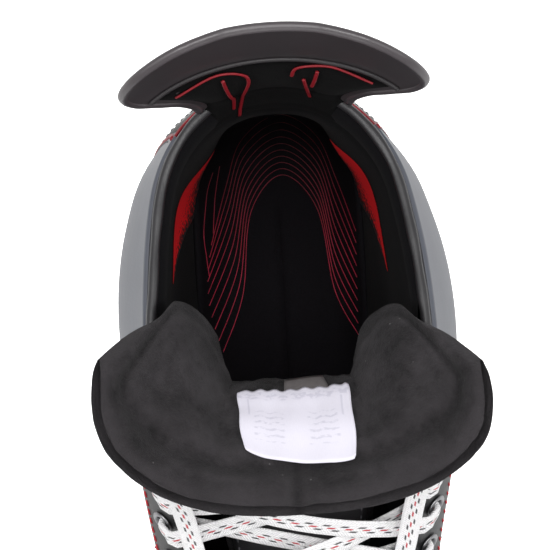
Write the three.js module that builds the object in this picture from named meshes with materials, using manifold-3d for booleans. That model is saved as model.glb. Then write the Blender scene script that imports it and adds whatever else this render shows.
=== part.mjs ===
// A right-foot ice hockey skate: boot, tongue, tendon guard, laces, holder and steel runner.
// Millimetres. +X points to the toe, +Y to the inner (medial) side, +Z up, and the steel stands on z = 0.
import * as THREE from "three";
import { mergeVertices } from "three/addons/utils/BufferGeometryUtils.js";
import Module from "manifold-3d";

const wasm = await Module();
wasm.setup();

// ---- Driving dimensions -------------------------------------------------------------------------
const GAP = 0.3; // air between pieces that touch
const TOE_X = 160; // outer tip of the toe cap
const TOE_ROUND = 66; // length over which the toe rounds off in plan
const BACK_ROUND = 40; // length over which the heel rounds off in plan
const CROWN_ROUND = 31; // depth over which the instep rounds off
const TOE_SWEEP = 7; // how far the toe tip leans to the inner side
const SOLE_FRONT = 66; // height of the boot's flat underside at the ball
const SOLE_HEEL = 76; // and at the heel
const QUARTER = 3; // thickness of the quarter shell
const PAD = 3.6; // thickness of the foam over the ankle bones
const LINER = 2; // thickness of the lining
const BOARD = 3; // insole board
const OUTSOLE = 4;
const PLATE = 4; // holder flange
const STEEL = 3; // runner thickness
const RAIL_TOP = 38; // top of the holder's rail between its towers
const SLOT_TOP = 28; // top edge of the steel, inside the rail
const EYELETS = 9; // on each side
const EYELET_R = 2.6; // hole of an eyelet
const LACE_WIDTH = 8;
const LACE_THICK = 1.2;
const NARROW = 3.6; // width of the lace where it is gathered in an eyelet
const TOWERS = { front: 86, rear: -88 }; // middle of each holder tower along X

// ---- Small mathematics --------------------------------------------------------------------------
// A smooth curve through values at rising knots, flat outside them.
function through(knots, values) {
  return (x) => {
    const last = knots.length - 1;
    if (x <= knots[0]) return values[0];
    if (x >= knots[last]) return values[last];
    let i = 0;
    while (x > knots[i + 1]) i++;
    const slope = (a, b) => (values[b] - values[a]) / (knots[b] - knots[a]);
    const h = knots[i + 1] - knots[i];
    const m0 = i === 0 ? slope(0, 1) : slope(i - 1, i + 1);
    const m1 = i + 1 === last ? slope(last - 1, last) : slope(i, i + 2);
    const t = (x - knots[i]) / h;
    return (
      values[i] * (2 * t ** 3 - 3 * t ** 2 + 1) +
      values[i + 1] * (3 * t ** 2 - 2 * t ** 3) +
      m0 * h * (t ** 3 - 2 * t ** 2 + t) +
      m1 * h * (t ** 3 - t ** 2)
    );
  };
}
const smooth = (t) => {
  const c = Math.min(1, Math.max(0, t));
  return c * c * (3 - 2 * c);
};
// 0 at the rim, 1 once q passes 1, with a round shoulder of power n.
const rounded = (q, n) => {
  const c = 1 - Math.min(1, Math.max(0, q));
  return (1 - c ** n) ** (1 / n);
};
const pair = (x, z) => new THREE.Vector2(x, z);

// ---- The boot's form ----------------------------------------------------------------------------
// Side view: the crown runs from the toe tip over the instep and up the shin.
const CROWN = [
  [160, 80], [156, 104], [138, 122], [112, 131], [86, 138], [58, 158], [34, 182],
  [13, 207], [-4, 232], [-16, 254], [-26, 274], [-36, 292], [-46, 308],
].map(([x, z]) => pair(x, z));
// The back of the boot: its X at each height.
const backX = through(
  [45, 58, 75, 100, 125, 150, 175, 200, 250],
  [-112, -125, -134, -138.5, -138, -135, -132, -130.5, -130],
);
// The keel runs under the sole, round the heel and up the back. Each keel point pairs with a crown point.
const KEEL = [
  [160, 70], [154, 57], [138, 48], [112, 45], [85, 45], [52, 45], [15, 45], [-30, 45], [-80, 45],
].map(([x, z]) => pair(x, z));
for (const z of [60, 100, 150, 205]) KEEL.push(pair(backX(z), z));

// Half widths at four heights, each along X.
const STATIONS = [-140, -120, -95, -70, -45, -15, 20, 60, 95];
const LEVELS = [70, 115, 170, 232];
const WIDTHS = [
  [36, 37, 37, 37, 37, 38.5, 43, 50, 52],
  [37, 40, 42, 43.5, 44.5, 45.5, 47, 51, 52],
  [34, 39, 49, 56, 58, 55.5, 52, 50, 49],
  [31, 34, 38, 42.5, 45.5, 46, 46, 42, 41],
].map((row) => through(STATIONS, row));
const LATERAL_SHIFT = { x: 6, z: 8 }; // the outer ankle bone sits lower and further back

const crownLine = new THREE.SplineCurve(CROWN);
const keelLine = new THREE.SplineCurve(KEEL);
const CROWN_STEPS = crownLine.getPoints(72);
function belowCrown(x, z) {
  let best = Infinity;
  for (let i = 1; i < CROWN_STEPS.length; i++) {
    const a = CROWN_STEPS[i - 1];
    const b = CROWN_STEPS[i];
    const [dx, dz] = [b.x - a.x, b.y - a.y];
    const t = Math.min(1, Math.max(0, ((x - a.x) * dx + (z - a.y) * dz) / (dx * dx + dz * dz)));
    best = Math.min(best, Math.hypot(x - a.x - t * dx, z - a.y - t * dz));
  }
  return best;
}
const middleY = (x) => TOE_SWEEP * smooth((x - 40) / 110);

// How much thicker the padding is over the ankle bones and beside the heel tendon. Only the layers inside the
// pads are set in by it.
const mound = (x, z, rise, atX, atZ, wide, tall) =>
  rise * Math.exp(-(((x - atX) / wide) ** 2) - ((z - atZ) / tall) ** 2);
const ankleBulge = (x, z) => mound(x, z, 8.3, -66, 165, 38, 30) + mound(x, z, 8, -113, 138, 13, 38);
const insidePads = (depth) => depth > QUARTER + PAD;
// Y of the boot's surface at a place in the side view, on the side side (+1 inner, -1 outer), set in by depth.
function shellY(x, z, side, depth) {
  const [sx, sz] = side > 0 ? [x, z] : [x + LATERAL_SHIFT.x, z + LATERAL_SHIFT.z];
  const full = through(LEVELS, WIDTHS.map((w) => w(sx)))(sz) - depth - (insidePads(depth) ? ankleBulge(x, z) : 0);
  const half =
    full *
    rounded((belowCrown(x, z) - depth) / (CROWN_ROUND - depth), 2) *
    rounded((x - backX(z) - depth) / (BACK_ROUND - depth), 2.4) *
    rounded((TOE_X - depth - x) / (TOE_ROUND - depth), 2.3);
  return middleY(x) + side * Math.max(0.4, half);
}
function shellPoint(x, z, side, depth, lift = 0) {
  const e = 0.5;
  const y = shellY(x, z, side, depth);
  if (!lift) return new THREE.Vector3(x, y, z);
  const dx = (shellY(x + e, z, side, depth) - shellY(x - e, z, side, depth)) / (2 * e);
  const dz = (shellY(x, z + e, side, depth) - shellY(x, z - e, side, depth)) / (2 * e);
  const out = new THREE.Vector3(-dx, 1, -dz).multiplyScalar(side).normalize();
  return new THREE.Vector3(x, y, z).addScaledVector(out, lift);
}

// ---- Solids -------------------------------------------------------------------------------------
function geometryOf(positions, index) {
  return new THREE.BufferGeometry()
    .setAttribute("position", new THREE.BufferAttribute(new Float32Array(positions), 3))
    .setIndex(index);
}
function solid(geometry) {
  const bare = geometry.clone();
  for (const extra of ["normal", "uv"]) bare.deleteAttribute(extra);
  const merged = mergeVertices(bare, 1e-4);
  return new wasm.Manifold(
    new wasm.Mesh({
      numProp: 3,
      vertProperties: merged.attributes.position.array,
      triVerts: new Uint32Array(merged.index.array),
    }),
  );
}
function geometryFrom(made) {
  const mesh = made.getMesh();
  const g = geometryOf(mesh.vertProperties, new THREE.BufferAttribute(mesh.triVerts, 1));
  g.computeVertexNormals();
  return g;
}
// A closed solid through rings of points, each ring listed the same way round, with flat or pointed ends.
function ringSolid(rings) {
  const positions = [];
  const index = [];
  const n = rings[0].length;
  rings.flat().forEach((p) => positions.push(p.x, p.y, p.z));
  for (let r = 0; r + 1 < rings.length; r++)
    for (let i = 0; i < n; i++) {
      const j = (i + 1) % n;
      const [a, b, c, d] = [r * n + i, r * n + j, (r + 1) * n + j, (r + 1) * n + i];
      index.push(a, b, c, a, c, d);
    }
  [0, rings.length - 1].forEach((r, end) => {
    const centre = rings[r].reduce((sum, p) => sum.add(p), new THREE.Vector3()).divideScalar(n);
    const tip = positions.length / 3;
    positions.push(centre.x, centre.y, centre.z);
    for (let i = 0; i < n; i++) {
      const j = (i + 1) % n;
      if (end) index.push(r * n + i, r * n + j, tip);
      else index.push(r * n + j, r * n + i, tip);
    }
  });
  const made = solid(geometryOf(positions, index));
  if (made.volume() > 0) return made;
  for (let i = 0; i < index.length; i += 3) [index[i], index[i + 1]] = [index[i + 1], index[i]];
  return solid(geometryOf(positions, index));
}
// A sheet of thickness from depth a to depth b of a surface at(u, v, depth), with u and v from 0 to 1.
function sheetSolid(at, nu, nv, a, b) {
  const rings = [];
  for (let j = 0; j <= nv; j++) {
    const row = (depth) => Array.from({ length: nu + 1 }, (_, i) => at(i / nu, j / nv, depth));
    rings.push([...row(a), ...row(b).reverse()]);
  }
  return ringSolidStrips(rings);
}
// As ringSolid, with end caps made of quads across a thin section.
function ringSolidStrips(rings) {
  const positions = [];
  const index = [];
  const n = rings[0].length;
  rings.flat().forEach((p) => positions.push(p.x, p.y, p.z));
  for (let r = 0; r + 1 < rings.length; r++)
    for (let i = 0; i < n; i++) {
      const j = (i + 1) % n;
      const [a, b, c, d] = [r * n + i, r * n + j, (r + 1) * n + j, (r + 1) * n + i];
      index.push(a, b, c, a, c, d);
    }
  for (let i = 0; i + 1 < n / 2; i++) {
    const [a, b, c, d] = [i, i + 1, n - 2 - i, n - 1 - i];
    index.push(a, c, b, a, d, c);
    const last = (rings.length - 1) * n;
    index.push(last + a, last + b, last + c, last + a, last + c, last + d);
  }
  const made = solid(geometryOf(positions, index));
  if (made.volume() > 0) return made;
  for (let i = 0; i < index.length; i += 3) [index[i], index[i + 1]] = [index[i + 1], index[i]];
  return solid(geometryOf(positions, index));
}
// A side-view outline (x, z) made solid between two Y planes.
function sideProfile(outline, y0, y1) {
  const shape = new THREE.Shape(outline.map(([x, z]) => pair(x, z)));
  const g = new THREE.ExtrudeGeometry(shape, { depth: y1 - y0, bevelEnabled: false });
  g.rotateX(Math.PI / 2);
  g.translate(0, y1, 0);
  return solid(g);
}
function block(x0, x1, y0, y1, z0, z1) {
  const g = new THREE.BoxGeometry(x1 - x0, y1 - y0, z1 - z0);
  g.translate((x0 + x1) / 2, (y0 + y1) / 2, (z0 + z1) / 2);
  return solid(g);
}
function upright(x, y, r, z0, z1, segments = 12) {
  const g = new THREE.CylinderGeometry(r, r, z1 - z0, segments);
  g.rotateX(Math.PI / 2);
  g.translate(x, y, (z0 + z1) / 2);
  return solid(g);
}

// The whole boot form, set in by depth all round.
const RIBS = 21;
const ROUND = 12; // points up each side of a rib
function bootForm(depth, ribs = RIBS) {
  const inset = (line, s, way) => {
    const p = line.getPoint(s);
    const t = line.getTangent(s);
    return pair(p.x - way * t.y * depth, p.y + way * t.x * depth);
  };
  const rings = [];
  for (let r = 0; r <= ribs; r++) {
    const s = 0.012 + 0.988 * (r / ribs);
    const keel = inset(keelLine, s, -1);
    const crown = inset(crownLine, s, 1);
    const side = (sign) =>
      Array.from({ length: ROUND }, (_, i) => {
        const t = (1 - Math.cos((Math.PI * i) / (ROUND - 1))) / 2;
        const p = keel.clone().lerp(crown, t);
        return shellPoint(p.x, p.y, sign, depth);
      });
    rings.push([...side(1), ...side(-1).reverse()]);
  }
  return ringSolidStrips(rings);
}
const FORMS = new Map();
function form(depth) {
  if (!FORMS.has(depth)) FORMS.set(depth, bootForm(depth));
  return FORMS.get(depth);
}

// ---- Cutting lines in the side view -------------------------------------------------------------
const soleZ = (x) => SOLE_HEEL + (SOLE_FRONT - SOLE_HEEL) * smooth((x + 70) / 140);
// A slab that follows the sole, from low to high above it.
function soleBand(low, high, x0 = -170, x1 = 190) {
  const xs = [x0, -70, -45, -20, 0, 20, 45, 70, x1].filter((x) => x >= x0 && x <= x1);
  const outline = [...xs.map((x) => [x, soleZ(x) + low]), ...xs.reverse().map((x) => [x, soleZ(x) + high])];
  return sideProfile(outline, -90, 90);
}
const FACING = [[90, 133.5], [58, 150], [32, 171], [8, 195], [-10, 217], [-22, 234]];
const COLLAR = [[-40, 230], [-65, 224], [-90, 218], [-112, 214.5], [-131, 213]];
const facingLine = new THREE.SplineCurve(FACING.map(([x, z]) => pair(x, z)));
// A place in the side view, down from the facing's edge and along it from the toe (0) to the top (1).
function onFacing(along, down) {
  const p = facingLine.getPoint(along);
  const t = facingLine.getTangent(along);
  return pair(p.x + t.y * -down, p.y + t.x * down);
}
// Everything above the throat and the collar, moved down by drop at the throat and by lower at the collar.
function openingCutter(drop, lower) {
  const throat = [0, 0.12, 0.25, 0.4, 0.55, 0.7, 0.85, 1].map((a) => onFacing(a, drop)).map((p) => [p.x, p.y]);
  const collar = COLLAR.map(([x, z]) => [x, z - lower]);
  const end = COLLAR.at(-1)[1] - lower;
  return sideProfile(
    [...throat, ...collar, [-220, end], [-220, 420], [throat[0][0], 420]],
    -120,
    120,
  );
}
const TOE_CAP_LINE = [[98, 40], [98, 78], [97, 100], [94, 120], [91, 134], [90, 150]];
function toeSide(shift) {
  const line = TOE_CAP_LINE.map(([x, z]) => [x + shift, z]);
  return sideProfile([...line, [240, 150], [240, 40]], -120, 120);
}
// The room between the facings: it keeps the shell's crown from reaching under the laces.
function throatCore(inset) {
  const steps = 8;
  const rings = Array.from({ length: steps + 2 }, (_, i) => {
    const along = Math.min(1, i / steps);
    const beyond = facingLine.getTangent(1).multiplyScalar(i > steps ? 5 : 0);
    const edge = onFacing(along, 0);
    const half = [1, -1].map((side) => shellY(edge.x, edge.y, side, 0) - side * inset);
    const [low, high] = [onFacing(along, 16).add(beyond), onFacing(along, -50).add(beyond)];
    return [
      [low, half[1]], [low, half[0]], [high, half[0]], [high, half[1]],
    ].map(([q, y]) => new THREE.Vector3(q.x, y, q.y));
  });
  return ringSolid(rings);
}
const halfSpace = (side) =>
  side > 0 ? block(-300, 300, GAP / 2, 200, -50, 450) : block(-300, 300, -200, -GAP / 2, -50, 450);

// ---- Boot pieces --------------------------------------------------------------------------------
const aboveSole = soleBand(0, 400);
const SIDES = { medial: 1, lateral: -1 };

function eyeletPlace(i, side) {
  const p = onFacing(0.03 + (0.94 * i) / (EYELETS - 1), 6.5);
  const at = shellPoint(p.x, p.y, side, 0);
  const up = shellPoint(p.x, p.y, side, 0, 1).sub(at).normalize();
  const inward = onFacing(0.03 + (0.94 * i) / (EYELETS - 1), 5.5);
  const toEdge = shellPoint(inward.x, inward.y, side, 0).sub(at).normalize();
  return { at, up, toEdge };
}
function turned(geometry, place, shift = 0) {
  const g = geometry.clone();
  g.applyQuaternion(new THREE.Quaternion().setFromUnitVectors(new THREE.Vector3(0, 0, 1), place.up));
  const p = place.at.clone().addScaledVector(place.up, shift);
  g.translate(p.x, p.y, p.z);
  return g;
}
function eyeletHoles(side, r) {
  const drill = new THREE.CylinderGeometry(r, r, 16, 8).rotateX(Math.PI / 2);
  return Array.from({ length: EYELETS }, (_, i) => solid(turned(drill, eyeletPlace(i, side))));
}
const BARREL_R = EYELET_R + 0.9;

function quarter(side) {
  let made = form(0).subtract(form(QUARTER)).intersect(aboveSole).intersect(halfSpace(side));
  made = made.subtract(openingCutter(0, 0)).subtract(throatCore(-1.4)).subtract(toeSide(-GAP));
  for (const hole of eyeletHoles(side, BARREL_R + 0.15)) made = made.subtract(hole);
  return made;
}
function toeCap() {
  return form(0).subtract(form(3.4)).intersect(aboveSole).intersect(toeSide(0));
}
function anklePad(side) {
  const spot = new THREE.CylinderGeometry(1, 1, 200, 18).scale(40, 1, 38).translate(-66, 0, 165);
  const inner = QUARTER + GAP;
  return form(inner).subtract(form(inner + PAD)).intersect(solid(spot)).intersect(halfSpace(side));
}
const LINER_OUT = QUARTER + PAD + 2 * GAP;
const LINER_IN = LINER_OUT + LINER;
function liner(side) {
  const floor = soleBand(BOARD + 2 * GAP, 400);
  let made = form(LINER_OUT).subtract(form(LINER_IN)).intersect(floor).intersect(halfSpace(side));
  made = made.subtract(openingCutter(19, 1)).subtract(throatCore(-3));
  return made.subtract(block(78, 300, -100, 100, 0, 300));
}
function insoleBoard() {
  return form(QUARTER + 0.8).intersect(soleBand(GAP, GAP + BOARD));
}
// A flat bed whose rim rises into a cup round the heel.
function footbed() {
  const low = BOARD + 3 * GAP;
  const cup = [[-170, 80], [60, 70], [60, 76], [0, 88], [-60, 97], [-110, 108], [-170, 112]];
  const rim = form(LINER_IN + 0.6).subtract(form(LINER_IN + 2.4)).intersect(sideProfile(cup, -90, 90));
  const bed = form(LINER_IN + 0.6).intersect(soleBand(low, low + 4.5));
  return bed.add(rim.intersect(soleBand(low, 60)));
}
function outsole() {
  return form(-0.6).intersect(soleBand(-GAP - OUTSOLE, -GAP));
}
// A moulded cup round the outside of the heel.
function heelCounter() {
  const outline = [
    [-160, 77], [-62, 77.4], [-66, 92], [-84, 112], [-104, 132], [-118, 158], [-124, 184], [-160, 188],
  ];
  return form(-GAP - 1.6).subtract(form(-GAP)).intersect(sideProfile(outline, -90, 90));
}
// The reinforcing strip that carries the eyelets.
const FACING_WIDTH = 15;
function facing(side) {
  const at = (u, v, lift) => {
    const p = onFacing(0.995 * v, 0.9 + FACING_WIDTH * u);
    return shellPoint(p.x, p.y, side, 0, lift);
  };
  let made = sheetSolid(at, 3, 12, GAP, GAP + 1.2).subtract(form(-GAP)).subtract(throatCore(-1.5));
  for (const hole of eyeletHoles(side, BARREL_R + 0.15)) made = made.subtract(hole);
  return made;
}
// A pressed metal eyelet: a flange on the facing and a barrel through the facing and the quarter.
function eyelet(place) {
  const [top, flange] = [1.5 + GAP + 0.1, 4.3];
  const profile = [
    [EYELET_R, -3.4], [EYELET_R + 0.5, -3.4], [EYELET_R + 0.5, top], [flange, top], [flange - 0.4, top + 0.7],
    [EYELET_R, top + 0.7], [EYELET_R, -3.4],
  ].map(([x, y]) => pair(x, y));
  return turned(new THREE.LatheGeometry(profile, 8).rotateX(Math.PI / 2), place);
}

// ---- Tendon guard -------------------------------------------------------------------------------
const GUARD_Z = [215.4, 228, 238, 246, 254, 262, 270, 278, 285, 289.5];
const guardHalf = through(GUARD_Z, [25, 27.5, 31, 37, 43.5, 46.5, 45, 39.5, 29, 14]);
const guardBack = through([217, 238, 262, 290], [-133.6, -133.4, -136, -140.5]);
const guardRadius = through([217, 238, 262, 290], [35, 58, 98, 90]);
function guardPoint(u, v, depth) {
  const z = GUARD_Z[0] + (GUARD_Z.at(-1) - GUARD_Z[0]) * v;
  const r = guardRadius(z);
  const angle = Math.asin(((2 * u - 1) * guardHalf(z)) / r);
  const rise = (v < 0.25 ? 1 - v / 0.25 : 0) * 5 * (2 * u - 1) ** 2;
  const back = guardBack(z) + r - (r - depth) * Math.cos(angle);
  return new THREE.Vector3(back, (r - depth) * Math.sin(angle), z + rise);
}
const GUARD_SHELL = 2.4;
const GUARD_PAD = 3.6;

// ---- Tongue -------------------------------------------------------------------------------------
// Rows from the vamp to the top: middle of the front face, how far the edges sweep, which way, half width.
const TONGUE_ROWS = [
  { x: 86, z: 121, sweep: 8, way: [-0.35, -0.94], half: 19 },
  { x: 58, z: 137, sweep: 11, way: [-0.6, -0.8], half: 25 },
  { x: 32, z: 158, sweep: 15, way: [-0.7, -0.7], half: 29 },
  { x: 8, z: 182, sweep: 20, way: [-0.8, -0.6], half: 31 },
  { x: -12, z: 204, sweep: 25, way: [-0.95, -0.3], half: 31 },
  { x: -27, z: 223, sweep: 25, way: [-1, 0], half: 31 },
  { x: -18.5, z: 240, sweep: 33.5, way: [-1, 0], half: 49 },
  { x: 7, z: 258, sweep: 46, way: [-1, -0.05], half: 64.5 },
];
const rowValue = (pick) => through(TONGUE_ROWS.map((_, i) => i), TONGUE_ROWS.map(pick));
const tongueRow = {
  x: rowValue((r) => r.x),
  z: rowValue((r) => r.z),
  sweep: rowValue((r) => r.sweep),
  wayX: rowValue((r) => r.way[0]),
  wayZ: rowValue((r) => r.way[1]),
  half: rowValue((r) => r.half),
};
const TONGUE_THICK = 6.5;
// How much of the sweep the face has reached: two lobes beside a middle groove at the bend, a plain arc at the rim.
function swept(across, row) {
  const y = Math.abs(across) * tongueRow.half(row);
  const arc = Math.abs(across) ** 2.4;
  const lobes = smooth((y - 17) / 14);
  const bend = smooth((row - 3.6) / 1.4) * (1 - smooth((row - 5.3) / 1.5));
  return arc + (lobes - arc) * bend;
}
// The inner side of the free top leans less towards the heel, and the rim's two corners are rounded.
function tongueFace(across, along) {
  const corner = Math.max(0, (Math.abs(across) - 0.72) / 0.28) ** 2 * smooth((along - 5.9) / 1.1);
  const row = along - 0.34 * corner;
  const lean = 1 - 0.17 * smooth(across / 0.45) * smooth((along - 4.1) / 1.4);
  const back = tongueRow.sweep(row) * swept(across, row) * lean;
  const y = (tongueRow.half(row) * Math.sin((across * Math.PI) / 2.3)) / Math.sin(Math.PI / 2.3);
  return new THREE.Vector3(
    tongueRow.x(row) + tongueRow.wayX(row) * back,
    y,
    tongueRow.z(row) + tongueRow.wayZ(row) * back,
  );
}
// lift stands the point off the front face, towards the leg.
function tonguePoint(across, row, lift) {
  const e = 0.02;
  const p = tongueFace(across, row);
  const du = tongueFace(across + e, row).sub(tongueFace(across - e, row));
  const dv = tongueFace(across, row + e).sub(tongueFace(across, row - e));
  return p.addScaledVector(du.cross(dv).normalize(), -lift);
}
// The free top turns about a line across the tongue. The wedges below it leave room for both ways.
const HINGE = { x: -26, z: 216, back: 23, front: 14 };
function tonguePart(top) {
  const at = (u, v, lift) => tonguePoint(2 * u - 1, (TONGUE_ROWS.length - 1) * v, lift);
  const whole = sheetSolid(at, 16, 16, 0, TONGUE_THICK);
  const { x, z, back, front } = HINGE;
  const fall = (dx, degrees) => z - GAP - dx * Math.tan((degrees * Math.PI) / 180);
  if (top) return whole.intersect(sideProfile([[-200, z], [200, z], [200, 400], [-200, 400]], -99, 99));
  const lower = [[-120, 60], [200, 60], [200, fall(200 - x, front)], [x, z - GAP], [-120, fall(x + 120, back)]];
  return whole.intersect(sideProfile(lower, -99, 99));
}
function tongueLabel() {
  const at = (u, v, lift) => tonguePoint(0.6 * (u - 0.5) + 0.01, 5.62 + 0.93 * v, lift);
  return sheetSolid(at, 12, 8, TONGUE_THICK + 4 * GAP, TONGUE_THICK + 4 * GAP + 0.7);
}
function tongueTab() {
  const at = (u, v, lift) => tonguePoint(0.26 * (u - 0.5) + 0.085, 5.34 + 0.24 * v, lift);
  return sheetSolid(at, 3, 2, TONGUE_THICK + 3 * GAP, TONGUE_THICK + 3 * GAP + 0.6);
}

// ---- Laces --------------------------------------------------------------------------------------
// A flat ribbon along a path: each stop has a place, the ribbon's face direction and its width.
function ribbon(stops) {
  let last = null;
  const rings = stops.map((stop, i) => {
    const before = stops[Math.max(0, i - 1)].at;
    const after = stops[Math.min(stops.length - 1, i + 1)].at;
    const along = after.clone().sub(before).normalize();
    const across = stop.face.clone().cross(along).normalize();
    if (last) {
      const turn = new THREE.Quaternion().setFromUnitVectors(last.along, along);
      if (last.across.clone().applyQuaternion(turn).dot(across) < 0) across.negate();
    }
    last = { along, across };
    const face = along.clone().cross(across).normalize();
    const corner = (w, t) =>
      stop.at.clone().addScaledVector(across, (w * stop.width) / 2).addScaledVector(face, (t * LACE_THICK) / 2);
    return [corner(-1, -1), corner(1, -1), corner(1, 1), corner(-1, 1)];
  });
  return ringSolid(rings);
}
const stop = (at, face, width = LACE_WIDTH) => ({ at, face, width });
const offEyelet = (p, up, edge) => p.at.clone().addScaledVector(p.up, up).addScaledVector(p.toEdge, edge);
const THROAT_UP = new THREE.Vector3(0.66, 0, 0.75);
// Up through an eyelet from inside the boot, ready to run over the facing's edge.
function throughEyelet(p) {
  return [
    stop(offEyelet(p, -5.2, 0.4), p.toEdge.clone().addScaledVector(p.up, 0.8), NARROW),
    stop(offEyelet(p, -3.6, 0), p.toEdge, NARROW),
    stop(offEyelet(p, 2.2, 0), p.toEdge, NARROW),
  ];
}
// One crossing leaves eyelet i on one side, over the facing, and reaches below eyelet i + 1 on the other.
function crossing(i, side, over) {
  const from = eyeletPlace(i, side);
  const to = eyeletPlace(i + 1, -side);
  const a = offEyelet(from, 4.6, 8.5);
  const b = offEyelet(to, -5.2, 9);
  const arch = (t) =>
    a.clone().lerp(b, t).addScaledVector(THROAT_UP, (4 + over) * Math.sin(Math.PI * t) ** 0.8);
  const face = (t) =>
    t < 0.5
      ? from.up.clone().lerp(THROAT_UP, Math.min(1, 4 * t))
      : THROAT_UP.clone().lerp(to.up, Math.max(0, 4 * t - 3));
  return [
    ...throughEyelet(from),
    stop(offEyelet(from, 3.7, 1.6), from.up.clone().sub(from.toEdge), NARROW + 1),
    stop(offEyelet(from, 4.3, 4), from.up, LACE_WIDTH - 2),
    stop(a, from.up),
    ...[0.15, 0.3, 0.42, 0.5, 0.58, 0.7, 0.85].map((t) => stop(arch(t), face(t))),
    stop(b, to.up, LACE_WIDTH - 1),
    stop(offEyelet(to, -5.4, 4.5), to.up, NARROW + 1),
    stop(offEyelet(to, -5.8, 1.8), to.up, NARROW),
  ];
}
// Half of the lace: half of the bar under the lowest eyelets, then every crossing up to the top.
function laceStrand(side) {
  const p = eyeletPlace(0, side);
  const q = eyeletPlace(0, -side);
  const middle = p.at.clone().add(q.at).multiplyScalar(0.5).addScaledVector(THROAT_UP, -1.5);
  const start = [
    stop(middle.clone().setY(middle.y + side * 0.4), THROAT_UP),
    stop(middle.clone().lerp(offEyelet(p, -5.2, 9), 0.6), THROAT_UP),
    stop(offEyelet(p, -5.6, 5), p.up, NARROW + 1),
    stop(offEyelet(p, -5.8, 1.8), p.up, NARROW),
  ];
  let at = side;
  const run = [];
  for (let i = 0; i + 1 < EYELETS; i++) {
    run.push(...crossing(i, at, (at > 0) === (i % 2 === 0) ? 3.7 : -3.3));
    at = -at;
  }
  return ribbon([...start, ...run]);
}

// The free ends run forward over the crossings, through a knot on the vamp twice, and end in aglets.
const KNOT = new THREE.Vector3(84, 3, 149);
const KNOT_TILT = 0.42; // the bow leans forward with the vamp
const LEVEL = LACE_THICK + 0.6;
const bowUp = new THREE.Vector3(Math.sin(KNOT_TILT), 0, Math.cos(KNOT_TILT));
const bowFront = new THREE.Vector3(Math.cos(KNOT_TILT), 0, -Math.sin(KNOT_TILT));
// Each free end's way: out of the top eyelet, down over the crossings, through the knot, round the loop,
// through the knot again and down to its aglet.
const FREE_ROUTES = {
  medial: [
    [-20.5, 45, 235.2], [-7, 43, 230], [10, 39, 209], [33, 35, 183], [52, 29, 167], [68, 23, 158.5],
    [79, 14, 150.4], [84, 7.5, 149], [84, -1.5, 149], [87.5, -14, 147], [92.5, -30, 148.5], [96, -40, 156.5],
    [95.5, -35, 167], [87, -19, 163], [80, -7, 157], [85.5, -1.5, 152.3], [85.5, 7.5, 152.3], [93, 17, 150.5],
    [100.5, 29, 142], [106, 41, 132.5], [110, 53, 116.5],
  ],
  lateral: [
    [-20.5, -45, 235.2], [-7, -42.5, 230], [10, -38, 209], [33, -34, 183], [52, -27, 167.5], [68.5, -18, 160],
    [80, -8.5, 153], [84.7, -1.5, 150.7], [84.7, 7.5, 150.7], [87, 20, 148.2], [93.5, 36, 150], [97, 46, 158.5],
    [96, 41, 168.5], [87.5, 25, 164.5], [80.5, 13, 158.5], [86.2, 7.5, 154], [86.2, -1.5, 154], [92.5, -11, 151],
    [100.5, -23, 142], [106, -35, 132.5], [110, -47, 116.5],
  ],
};
// The lace's face at each point of a route.
function freeFaces(side) {
  const lie = bowUp;
  const back = bowUp.clone().negate();
  const first = eyeletPlace(EYELETS - 1, side).up;
  const loop = [tilt(0.4, -side), tilt(1.4, -side), tilt(2.6, -side), tilt(3.5, -side), tilt(3.35, -side)];
  return [
    first, first, THROAT_UP, THROAT_UP, THROAT_UP, lie, lie, lie, lie, lie,
    ...loop, back, back, back, back, tilt(-2.6, side), tilt(-2.3, side),
  ];
}
// The lace's face after turning from lying flat towards standing, seen along the bow's front.
function tilt(angle, side) {
  return bowUp.clone().multiplyScalar(Math.cos(angle)).add(new THREE.Vector3(0, -side * Math.sin(angle), 0));
}
function freeLace(name) {
  const side = SIDES[name];
  const points = FREE_ROUTES[name].map((p) => new THREE.Vector3(...p));
  const turns = freeFaces(side);
  const curve = new THREE.CatmullRomCurve3(points, false, "centripetal");
  const steps = 3 * (points.length - 1);
  const stops = Array.from({ length: steps + 1 }, (_, k) => {
    const t = k / steps;
    const i = Math.min(points.length - 2, Math.floor(t * (points.length - 1)));
    const f = t * (points.length - 1) - i;
    const near = Math.abs(curve.getPoint(t).y - KNOT.y) < 9 && k > 12;
    return stop(curve.getPoint(t), turns[i].clone().lerp(turns[i + 1], f), near ? 5.4 : k < 2 ? 4 : 7);
  });
  const p = eyeletPlace(EYELETS - 1, side);
  const start = [
    ...throughEyelet(p),
    stop(offEyelet(p, 4, 1.6), p.up.clone().sub(p.toEdge), NARROW + 1),
    stop(offEyelet(p, 4.7, 4), p.up, LACE_WIDTH - 2),
  ];
  return { made: ribbon([...start, ...stops]), curve };
}
function aglet(curve) {
  const end = curve.getPoint(1);
  const along = curve.getTangent(1);
  const g = new THREE.CylinderGeometry(1.8, 2, 20, 12);
  g.applyQuaternion(new THREE.Quaternion().setFromUnitVectors(new THREE.Vector3(0, 1, 0), along));
  const p = end.clone().addScaledVector(along, 10 + GAP);
  g.translate(p.x, p.y, p.z);
  return g;
}
// The knot: a turn of lace wrapped round the four passes.
function knot() {
  const [low, high, half] = [-LACE_THICK / 2 - 0.6, 3 * LEVEL + LACE_THICK / 2 + 0.6, 3.4];
  const wall = 1.6;
  const outer = block(-half - wall, half + wall, -4, 4, low - wall, high + wall);
  const inner = block(-half, half, -9, 9, low, high);
  const place = new THREE.Matrix4().makeBasis(bowFront, new THREE.Vector3(0, 1, 0), bowUp).setPosition(KNOT);
  return geometryFrom(outer.subtract(inner)).applyMatrix4(place);
}

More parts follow.
